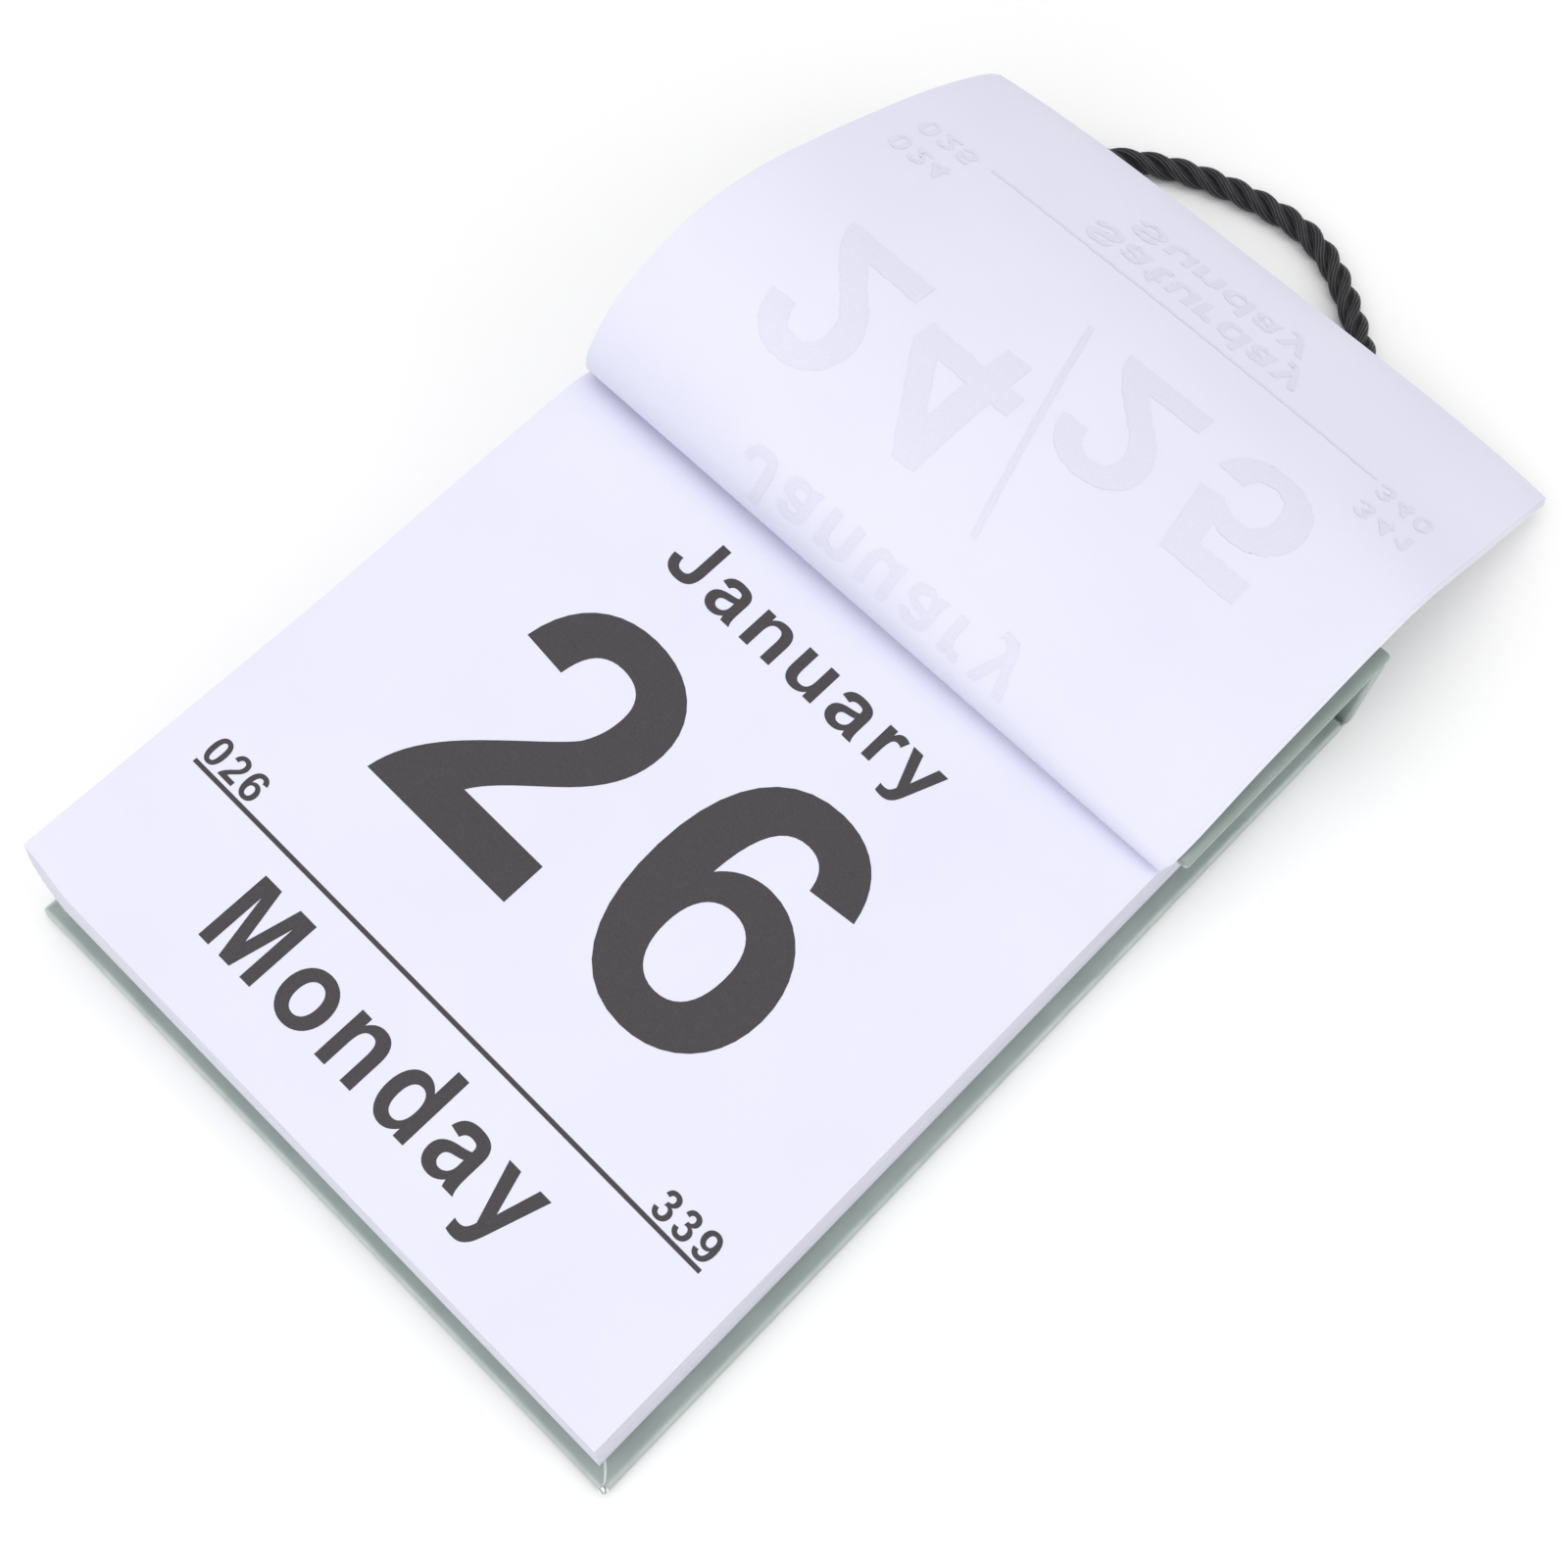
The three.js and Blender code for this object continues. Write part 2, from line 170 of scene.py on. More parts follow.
def lengths(line: Sequence[Vector]) -> list[float]:
    """Length along a line up to each of its points."""
    return [0.0, *accumulate((b - a).length for a, b in zip(line, line[1:]))]


def side_lift(y: float) -> float:
    """Height that the pad's loose left side gains.

    Args:
        y: Distance up the page.

    Returns:
        Height, in millimetres.
    """
    if y >= SPINE_INNER:
        return 0.0
    if y >= FLAP_FRONT:
        return FLAP_LIFT * (SPINE_INNER - y) / (SPINE_INNER - FLAP_FRONT)
    if y >= PUFF_LINE:
        return FLAP_LIFT + (PUFF_LIFT - FLAP_LIFT) * smooth((FLAP_FRONT - y) / PUFF_SETBACK)
    return PUFF_LIFT + (FOOT_LIFT - PUFF_LIFT) * smooth((PUFF_LINE - y) / RISE_LENGTH)


def left_share(x: float) -> float:
    """Share of the side lift at x, from none at the right edge to all at the left."""
    return max(0.0, (LEAF_RIGHT - x) / LEAF_WIDTH)


def pad_share(z: float) -> float:
    """Share of the pad's height that lies below z."""
    return min(1.0, max(0.0, (z - CARD_TOP) / (BLOCK_TOP - CARD_TOP)))


def settle(x: float, y: float, z: float) -> Point:
    """Move a point of the flat pad or flap to where the loose side carries it."""
    return (x, y, z + left_share(x) * side_lift(y) * pad_share(z))


def settle_leaf(x: float, y: float, z: float) -> Point:
    """As settle, with the free corner of the top leaves slipped towards the head."""
    px, py, pz = settle(x, y, z)
    near = smooth(1 - math.hypot(x - LEAF_LEFT, y - LEAF_FOOT) / CORNER_SLIP_REACH)
    return (px, py + CORNER_SLIP * near * pad_share(z) ** 4, pz)


class Spline:
    """Smooth curve through points, with centripetal spacing."""

    def __init__(self, points: Sequence[Point]) -> None:
        """Keep the points that the curve goes through."""
        self.points = [Vector(p) for p in points]

    def at(self, t: float) -> Vector:
        """Point of the curve.

        Args:
            t: Place from 0 to 1, of which each pair of points takes an equal share.

        Returns:
            The point.
        """
        points = self.points
        last = len(points) - 1
        place = min(max(t, 0.0), 1.0) * last
        index = min(int(place), last - 1)
        weight = place - index
        p1, p2 = points[index], points[index + 1]
        p0 = points[index - 1] if index > 0 else 2 * p1 - p2
        p3 = points[index + 2] if index + 2 <= last else 2 * p2 - p1
        d0, d1, d2 = [max((b - a).length ** 0.5, 1e-6) for a, b in ((p0, p1), (p1, p2), (p2, p3))]
        way1 = ((p1 - p0) / d0 - (p2 - p0) / (d0 + d1) + (p2 - p1) / d1) * d1
        way2 = ((p2 - p1) / d1 - (p3 - p1) / (d1 + d2) + (p3 - p2) / d2) * d1
        w2, w3 = weight**2, weight**3
        return (
            p1 * (2 * w3 - 3 * w2 + 1) + way1 * (w3 - 2 * w2 + weight)
            + p2 * (3 * w2 - 2 * w3) + way2 * (w3 - w2)
        )

    def way(self, t: float) -> Vector:
        """Unit direction of the curve at t."""
        return (self.at(t + 1e-4) - self.at(t - 1e-4)).normalized()


# Pieces and meshes


def add_piece(name: str, mesh: Mesh, material: Material, node: str = "") -> Piece:
    """Make a piece from a mesh, riding on the part's one body.

    Args:
        name: Piece name.
        mesh: Its mesh, in metres.
        material: Procedural material.
        node: CAD node that the piece stands for, if any.

    Returns:
        The new object.
    """
    piece = bpy.data.objects.new(name, mesh)
    bpy.context.scene.collection.objects.link(piece)
    mesh.materials.clear()
    mesh.materials.append(material)
    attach(piece, BODY)
    if node:
        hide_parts(node)
    return piece


def round_off(mesh: Mesh) -> None:
    """Shade a mesh smoothly."""
    mesh.polygons.foreach_set("use_smooth", [True] * len(mesh.polygons))


def make_mesh(name: str, points: Iterable[Point], faces: Iterable[Face], rounded: bool = True) -> Mesh:
    """Make a mesh from points in millimetres.

    Args:
        name: Mesh name.
        points: Corner points.
        faces: Corner indices of each face.
        rounded: Whether the shading is smooth.

    Returns:
        The mesh, in metres.
    """
    mesh = bpy.data.meshes.new(name)
    mesh.from_pydata([tuple(v * MM for v in p) for p in points], [], list(faces))
    mesh.update()
    if rounded:
        round_off(mesh)
    return mesh


def close_mesh(bm: bmesh.types.BMesh, name: str, rounded: bool = True) -> Mesh:
    """Turn an edited mesh into a finished one, and free it.

    Args:
        bm: The edited mesh, in metres.
        name: Mesh name.
        rounded: Whether the shading is smooth.

    Returns:
        The mesh.
    """
    mesh = bpy.data.meshes.new(name)
    bm.to_mesh(mesh)
    bm.free()
    if rounded:
        round_off(mesh)
    return mesh


def cut(bm: bmesh.types.BMesh, axis: int, places: Iterable[float]) -> None:
    """Cut a mesh across an axis, so that it can bend there.

    Args:
        bm: Mesh to cut.
        axis: 0 for cuts across x, 1 for cuts across y.
        places: Where the cuts lie.
    """
    normal = Vector((1, 0, 0)) if axis == 0 else Vector((0, 1, 0))
    for place in places:
        geometry = bm.verts[:] + bm.edges[:] + bm.faces[:]
        bmesh.ops.bisect_plane(bm, geom=geometry, plane_co=normal * place, plane_no=normal)


def set_values(mesh: Mesh, name: str, values: Sequence[float]) -> None:
    """Store one number for each point of a mesh, for its material to read."""
    layer = mesh.attributes.new(name, "FLOAT", "POINT")
    layer.data.foreach_set("value", list(values))


def quads(rows: int, width: int, first: int = 0, ring: bool = False, turned: bool = False) -> list[Face]:
    """Faces between the neighbouring rows of a grid of points.

    Args:
        rows: Number of rows.
        width: Points in each row.
        first: Index of the grid's first point.
        ring: Whether each row closes on itself.
        turned: Whether the faces look the other way.

    Returns:
        The faces, row by row.
    """
    faces = []
    for i in range(rows - 1):
        for j in range(width if ring else width - 1):
            a, b = (first + i * width + k % width for k in (j, j + 1))
            faces.append((a, a + width, b + width, b) if turned else (a, b, b + width, a + width))
    return faces


def rim(rows: int, width: int) -> list[int]:
    """Indices of the outer points of a grid, in order around it.

    Args:
        rows: Number of rows.
        width: Points in each row.

    Returns:
        The indices, from the first point along the first row.
    """
    last = rows - 1
    start = [*range(width - 1), *(j * width + width - 1 for j in range(last))]
    back = [last * width + i for i in range(width - 1, 0, -1)]
    return start + back + [j * width for j in range(last, 0, -1)]


def walls(upper: Sequence[int], lower: Sequence[int]) -> list[Face]:
    """Faces between two rings of points."""
    after = [*range(1, len(upper)), 0]
    return [(upper[k], lower[k], lower[n], upper[n]) for k, n in enumerate(after)]


# Materials


class Shader:
    """Small helper that builds one material's nodes."""

    def __init__(self, name: str) -> None:
        """Start a material with a plain surface."""
        self.material = bpy.data.materials.new(name)
        self.material.use_nodes = True
        self.tree = self.material.node_tree
        self.surface = self.tree.nodes["Principled BSDF"]

    def feed(self, node: bpy.types.Node, key: str | int, value: object) -> None:
        """Set an input of a node, or link a socket to it.

        Args:
            node: The node.
            key: Name or number of the input.
            value: Value, or socket to link from.
        """
        if isinstance(value, Socket):
            self.tree.links.new(value, node.inputs[key])
        else:
            node.inputs[key].default_value = value

    def add(self, kind: str, inputs: dict[str | int, object], **settings: object) -> bpy.types.Node:
        """Add a node, with values or links for its inputs.

        Args:
            kind: Node type.
            inputs: Value, or socket to link from, for each input.
            settings: Properties of the node.

        Returns:
            The node.
        """
        node = self.tree.nodes.new(kind)
        for key, value in settings.items():
            setattr(node, key, value)
        for key, value in inputs.items():
            self.feed(node, key, value)
        return node

    def place(self) -> Socket:
        """Position on the piece, in metres."""
        return self.add("ShaderNodeTexCoord", {}).outputs["Object"]

    def stored(self, name: str) -> Socket:
        """Number that the mesh stores for each point."""
        return self.add("ShaderNodeAttribute", {}, attribute_name=name).outputs["Fac"]

    def calc(self, operation: str, *values: object) -> Socket:
        """Result of a math node on one to three values."""
        return self.add("ShaderNodeMath", dict(enumerate(values)), operation=operation).outputs[0]

    def noise(self, size_mm: float, detail: float = 3.0) -> Socket:
        """Noise with features of about the given size in millimetres."""
        inputs = {"Vector": self.place(), "Scale": 1.0 / (size_mm * MM), "Detail": detail}
        return self.add("ShaderNodeTexNoise", inputs).outputs["Fac"]

    def streaks(self, x: Socket, y: Socket, scale: tuple[float, float], detail: float) -> Socket:
        """Noise drawn out along two stored measures.

        Args:
            x: Measure across the streaks.
            y: Measure along the streaks.
            scale: Features for each unit of the two measures.
            detail: Detail of the noise.

        Returns:
            The noise.
        """
        place = self.add("ShaderNodeCombineXYZ", {"X": x, "Y": y}).outputs[0]
        mapped = self.add("ShaderNodeMapping", {"Vector": place, "Scale": (*scale, 1.0)}).outputs[0]
        inputs = {"Vector": mapped, "Scale": 1.0, "Detail": detail}
        return self.add("ShaderNodeTexNoise", inputs).outputs["Fac"]

    def ramp(self, factor: Socket, stops: Sequence[tuple[float, str]]) -> Socket:
        """Colour ramp.

        Args:
            factor: Place on the ramp.
            stops: Place and sRGB hex colour of each stop.

        Returns:
            The colour.
        """
        node = self.add("ShaderNodeValToRGB", {"Fac": factor})
        ramp = node.color_ramp
        while len(ramp.elements) < len(stops):
            ramp.elements.new(0.5)
        for element, (position, colour) in zip(ramp.elements, stops):
            element.position = position
            element.color = linear(colour)
        return node.outputs["Color"]

    def remap(self, value: Socket, source: tuple[float, float], target: tuple[float, float]) -> Socket:
        """Map one range of values to another, limited at both ends."""
        inputs = {"Value": value, **dict(enumerate((*source, *target), 1))}
        return self.add("ShaderNodeMapRange", inputs).outputs[0]

    def mix(self, factor: Socket, first: Socket, second: str) -> Socket:
        """Mix an sRGB hex colour into a colour."""
        inputs = {0: factor, 6: first, 7: linear(second)}
        return self.add("ShaderNodeMix", inputs, data_type="RGBA").outputs[2]

    def bump(
        self, height: Socket, depth_mm: float, strength: float = 1.0, under: Socket | None = None
    ) -> Socket:
        """Bump of a real depth.

        Args:
            height: Height, as a share of the depth.
            depth_mm: Depth in millimetres.
            strength: How much of it shows.
            under: Another bump that it lies on.

        Returns:
            The normal.
        """
        inputs = {"Height": height, "Distance": depth_mm * MM, "Strength": strength}
        if under:
            inputs["Normal"] = under
        return self.add("ShaderNodeBump", inputs).outputs["Normal"]

    def finish(self, colour: Socket, roughness: Socket | float, **sockets: object) -> Material:
        """Set the surface.

        Args:
            colour: Base colour.
            roughness: Roughness.
            sockets: Further inputs, with underscores for the blanks in their names.

        Returns:
            The material.
        """
        for key, value in {"Base_Color": colour, "Roughness": roughness, **sockets}.items():
            self.feed(self.surface, key.replace("_", " "), value)
        return self.material


class Finish:
    """A finish of the part, which makes one material."""

    def build(self) -> Material:
        """Make the material."""
        raise NotImplementedError


@dataclass(frozen=True)
class CoverPaper(Finish):
    """Grey-green covering paper: satin and faintly mottled, with a patchy painted highlight along some rims.
    """

    low: str = "#909d98"
    high: str = "#9ba7a3"
    # Colour of the painted highlight along the rims.
    rim_highlight: str = "#d3dad7"
    mottle_mm: float = 9.0
    patch_mm: float = 7.0
    wave_mm: float = 14.0
    fibre_mm: float = 0.6

    def build(self) -> Material:
        """Make the material, which reads how near each point lies to a rim that takes the painted highlight.

        Returns:
            The material.
        """
        s = Shader("sage_covering_paper")
        mottle = s.noise(self.mottle_mm, 4.0)
        colour = s.ramp(mottle, [(0.3, self.low), (0.7, self.high)])
        patches = s.remap(s.noise(self.patch_mm), (0.3, 0.7), (0.45, 1.0))
        # Painted highlight: the stored rim share, broken up by noise, mixes a paler colour in along the
        # rims.
        rim_highlight_mask = s.calc("MULTIPLY", s.stored("painted_rim_highlight"), patches)
        colour = s.mix(s.remap(rim_highlight_mask, (0.0, 1.0), (0.0, 0.75)), colour, self.rim_highlight)
        grain = s.bump(s.noise(self.fibre_mm, 2.0), 0.012)
        waves = s.bump(s.noise(self.wave_mm, 2.0), 0.08, 1.0, grain)
        gloss = s.remap(mottle, (0.3, 0.7), (0.34, 0.44))
        return s.finish(colour, gloss, Normal=waves, Specular_IOR_Level=0.5)


@dataclass(frozen=True)
class FoldShadeAndHighlight(Finish):
    """Covering paper where it is folded and glued at a corner: paler and glossier, with painted shade in the
    tuck's creases and a painted highlight on its ridges.
    """

    # crease is painted shade for the tuck's creases, and ridge a painted highlight for its ridges.
    crease: str = "#5f6b67"
    low: str = "#a4afab"
    high: str = "#cdd5d2"
    ridge: str = "#f2f5f3"
    grain_mm: float = 0.8

    def build(self) -> Material:
        """Make the material, which reads how high each point lies on a crease's ridge, and paints shade in
        the creases and a highlight on the ridges.

        Returns:
            The material.
        """
        s = Shader("corner_fold_shade_and_highlight")
        stops = [(0.1, self.crease), (0.45, self.low), (0.75, self.high), (1.0, self.ridge)]
        normal = s.bump(s.noise(self.grain_mm, 4.0), 0.05)
        return s.finish(s.ramp(s.stored("fold_ridge"), stops), 0.33, Normal=normal, Specular_IOR_Level=0.5)


@dataclass(frozen=True)
class LeafPaper(Finish):
    """Smooth uncoated white paper with a cool tint and a fine fibre look."""

    name: str
    low: str
    high: str
    fibre: str = "#d0d0e2"
    cloud_mm: float = 30.0
    fibre_mm: float = 0.35

    def build(self) -> Material:
        """Make the material.

        Returns:
            The material.
        """
        s = Shader(self.name)
        cloud = s.noise(self.cloud_mm)
        fibre = s.noise(self.fibre_mm, 4.0)
        colour = s.ramp(cloud, [(0.3, self.low), (0.7, self.high)])
        colour = s.mix(s.remap(fibre, (0.35, 0.65), (0.0, 0.06)), colour, self.fibre)
        normal = s.bump(fibre, 0.006, 0.6, s.bump(cloud, 0.05, 0.5))
        return s.finish(colour, 0.78, Normal=normal, Specular_IOR_Level=0.25)


@dataclass(frozen=True)
class LeafEdges(Finish):
    """Cut edges of the stacked leaves, lined along the stack, with a painted highlight along the top leaf's
    edge.
    """

    leaves: int
    band: str = "#d0d0df"
    # top is the colour of the painted highlight along the top leaf's edge.
    top: str = "#fbfbff"

    def build(self) -> Material:
        """Make the material, which reads each point's share of the stack's height.

        Returns:
            The material.
        """
        s = Shader(f"cut_leaf_edges_{self.leaves}")
        share, run = s.stored("stack_share"), s.stored("stack_run")
        lines = s.streaks(share, run, (self.leaves * 0.55, 0.035), 2.0)
        bands = s.streaks(share, run, (self.leaves * 0.09, 0.012), 2.0)
        colour = s.ramp(lines, [(0.3, "#cdcddc"), (0.5, "#dcdce9"), (0.75, "#e8e8f3")])
        colour = s.mix(s.remap(bands, (0.35, 0.65), (0.0, 0.25)), colour, self.band)
        # Painted highlight along the top leaf's edge, at the top of the stack.
        colour = s.mix(s.remap(share, (0.982, 0.995), (0.0, 0.9)), colour, self.top)
        return s.finish(colour, 0.85, Normal=s.bump(lines, 0.12, 0.7), Specular_IOR_Level=0.2)


@dataclass(frozen=True)
class PrintInk(Finish):
    """Flat offset ink that lets a little paper grain through."""

    name: str
    dark: str
    light: str

    def build(self) -> Material:
        """Make the material.

        Returns:
            The material.
        """
        s = Shader(self.name)
        colour = s.ramp(s.noise(0.45, 4.0), [(0.3, self.dark), (0.7, self.light)])
        return s.finish(colour, 0.62, Normal=s.bump(s.noise(0.35), 0.005), Specular_IOR_Level=0.3)


@dataclass(frozen=True)
class RopeFibre(Finish):
    """Black synthetic strands: fine yarns along each strand with a soft sheen, a painted highlight on the
    yarn tops and painted shade in the grooves.
    """

    dark: str = "#141416"
    body: str = "#202022"
    # glint is a painted highlight on the yarn tops, and the groove colour painted shade between the strands.
    glint: str = "#57575c"
    groove_shade: str = "#070708"
    waver: float = 2.2

    def build(self) -> Material:
        """Make the material, which reads the yarns' place on each strand.

        Returns:
            The material.
        """
        s = Shader("black_rope_fibre")
        across = s.stored("yarn_across")
        fuzz = s.streaks(across, s.stored("yarn_along"), (0.35, 0.35), 3.0)
        yarns = s.calc("SINE", s.calc("MULTIPLY_ADD", fuzz, self.waver, across))
        stops = [(0.3, self.dark), (0.8, self.body), (0.97, self.glint)]
        colour = s.ramp(s.remap(yarns, (-1.0, 1.0), (0.0, 1.0)), stops)
        # Painted shade in the grooves between the strands.
        depth = s.remap(s.stored("strand_groove"), (0.55, 0.95), (0.0, 0.9))
        colour = s.mix(depth, colour, self.groove_shade)
        normal = s.bump(yarns, 0.06, 0.8)
        return s.finish(colour, 0.5, Normal=normal, Specular_IOR_Level=0.35, Sheen_Weight=0.06)


@dataclass(frozen=True)
class PlainStock(Finish):
    """Plain board, card, lining or glue with a speckle of the given size."""

    name: str
    low: str
    high: str
    grain_mm: float
    roughness: float = 0.9

    def build(self) -> Material:
        """Make the material.

        Returns:
            The material.
        """
        s = Shader(self.name)
        speckle = s.noise(self.grain_mm, 5.0)
        colour = s.ramp(speckle, [(0.3, self.low), (0.7, self.high)])
        return s.finish(colour, self.roughness, Normal=s.bump(speckle, self.grain_mm * 0.05))


def made(finish: Finish) -> Material:
    """Dataclass field that a finish fills with its material."""
    return field(default_factory=finish.build)


@dataclass(frozen=True)
class Finishes:
    """Materials of the part, made once."""

    cover: Material = made(CoverPaper())
    fold: Material = made(FoldShadeAndHighlight())
    leaf: Material = made(LeafPaper("leaf_paper", "#e3e3f4", "#e6e6f6"))
    block_edges: Material = made(LeafEdges(LEAVES_LEFT))
    # Whiter copy of the leaf paper for the turned leaves under the outer one: a painted highlight along the
    # stack's edge.
    leaf_rims_painted_highlight: Material = made(LeafPaper("leaf_rims_painted_highlight", "#eeeef8", "#f3f3fb"))
    ink: Material = made(PrintInk("dark_grey_ink", "#413e40", "#494649"))
    faint: Material = made(PrintInk("print_seen_through", "#dbdbec", "#e0e0f0"))
    rope: Material = made(RopeFibre())
    board: Material = made(PlainStock("greyboard", "#8d887f", "#a19c92", 0.9))
    lining: Material = made(PlainStock("lining_paper", "#dddcd6", "#e6e5df", 0.5))
    card: Material = made(PlainStock("backing_card", "#c4c4bf", "#cfcfca", 0.6))
    glue: Material = made(PlainStock("padding_glue", "#d2d2c4", "#e2e2d8", 3.0, 0.45))


# Rope


@dataclass
class RopeLoop:
    """Three-strand rope loop out of the spine's two holes."""

    finishes: Finishes
    diameter: float = 5.5
    strand: float = 1.42
    lay: float = 19.2
    yarns: int = 7
    yarn_lay: float = 0.9
    hole_x: float = 52.0
    hole_z: float = 12.5
    start: float = SPINE_INNER + 0.3
    samples: int = 2400
    stations: int = 420
    sides: int = 30

    def centres(self) -> tuple[list[Vector], float]:
        """Evenly spaced points of the centre line, from the left hole round to the right one.

        Returns:
            The points, and the length of the line.
        """
        ends = [(side * self.hole_x, self.start, self.hole_z) for side in (-1, 1)]
        route = Spline([ends[0], *((x, HEAD + beyond, z) for x, beyond, z in ROPE_LOOP), ends[1]])
        line = [route.at(t) for t in spread(0, 1, self.samples)]
        runs = lengths(line)
        points: list[Vector] = []
        index = 0
        for wanted in spread(0, runs[-1], self.stations):
            while index < len(runs) - 2 and runs[index + 1] < wanted:
                index += 1
            share = (wanted - runs[index]) / (runs[index + 1] - runs[index])
            points.append(line[index].lerp(line[index + 1], min(1.0, share)))
        return points, runs[-1]

    def strands(self, centres: Sequence[Vector], length: float) -> Mesh:
        """Surface of the three twisted strands.

        Args:
            centres: Points of the centre line.
            length: Its length.

        Returns:
            The mesh, with the yarns' place and the grooves' depth stored for each point.
        """
        third = math.pi / 3
        orbit = self.diameter / 2 - self.strand
        points: list[Point] = []
        values: dict[str, list[float]] = {"yarn_across": [], "yarn_along": [], "strand_groove": []}
        side_way = Vector((1, 0, 0))
        for i, centre in enumerate(centres):
            before, after = centres[max(0, i - 1)], centres[min(self.stations, i + 1)]
            way = (after - before).normalized()
            side_way = (side_way - way * side_way.dot(way)).normalized()
            up_way = way.cross(side_way)
            run = length * i / self.stations
            for angle in spread(0, 2 * math.pi, self.sides)[:-1]:
                off = (angle + third) % (2 * third) - third
                hidden = (orbit * math.sin(off)) ** 2
                radius = orbit * math.cos(off) + math.sqrt(max(0.0, self.strand**2 - hidden))
                spin = angle + 2 * math.pi * run / self.lay
                points.append(tuple(centre + (side_way * math.cos(spin) + up_way * math.sin(spin)) * radius))
                values["yarn_across"].append(self.yarns * 3 * off + self.yarn_lay * run)
                values["yarn_along"].append(run)
                values["strand_groove"].append(abs(off) / third)
        faces = quads(self.stations + 1, self.sides, ring=True)
        faces.append(tuple(reversed(range(self.sides))))
        faces.append(tuple(range(self.stations * self.sides, (self.stations + 1) * self.sides)))
        mesh = make_mesh("rope_strands", points, faces)
        for name, numbers in values.items():
            set_values(mesh, name, numbers)
        return mesh

    def build(self) -> list[Piece]:
        """Returns:
            The rope, as the only piece.
        """
        centres, length = self.centres()
        mesh = self.strands(centres, length)
        rope = add_piece("rope_loop", mesh, self.finishes.rope, "hanging_rope")
        log.info("rope length %.1f mm", length)
        return [rope]


# Lettering of the leaves: generic date words and numbers, as outlines in thousandths.
# Semicolons part a glyph's outlines and commas their steps. A step holds the point that a
# straight line goes to, or a curve's two handles and its end point.

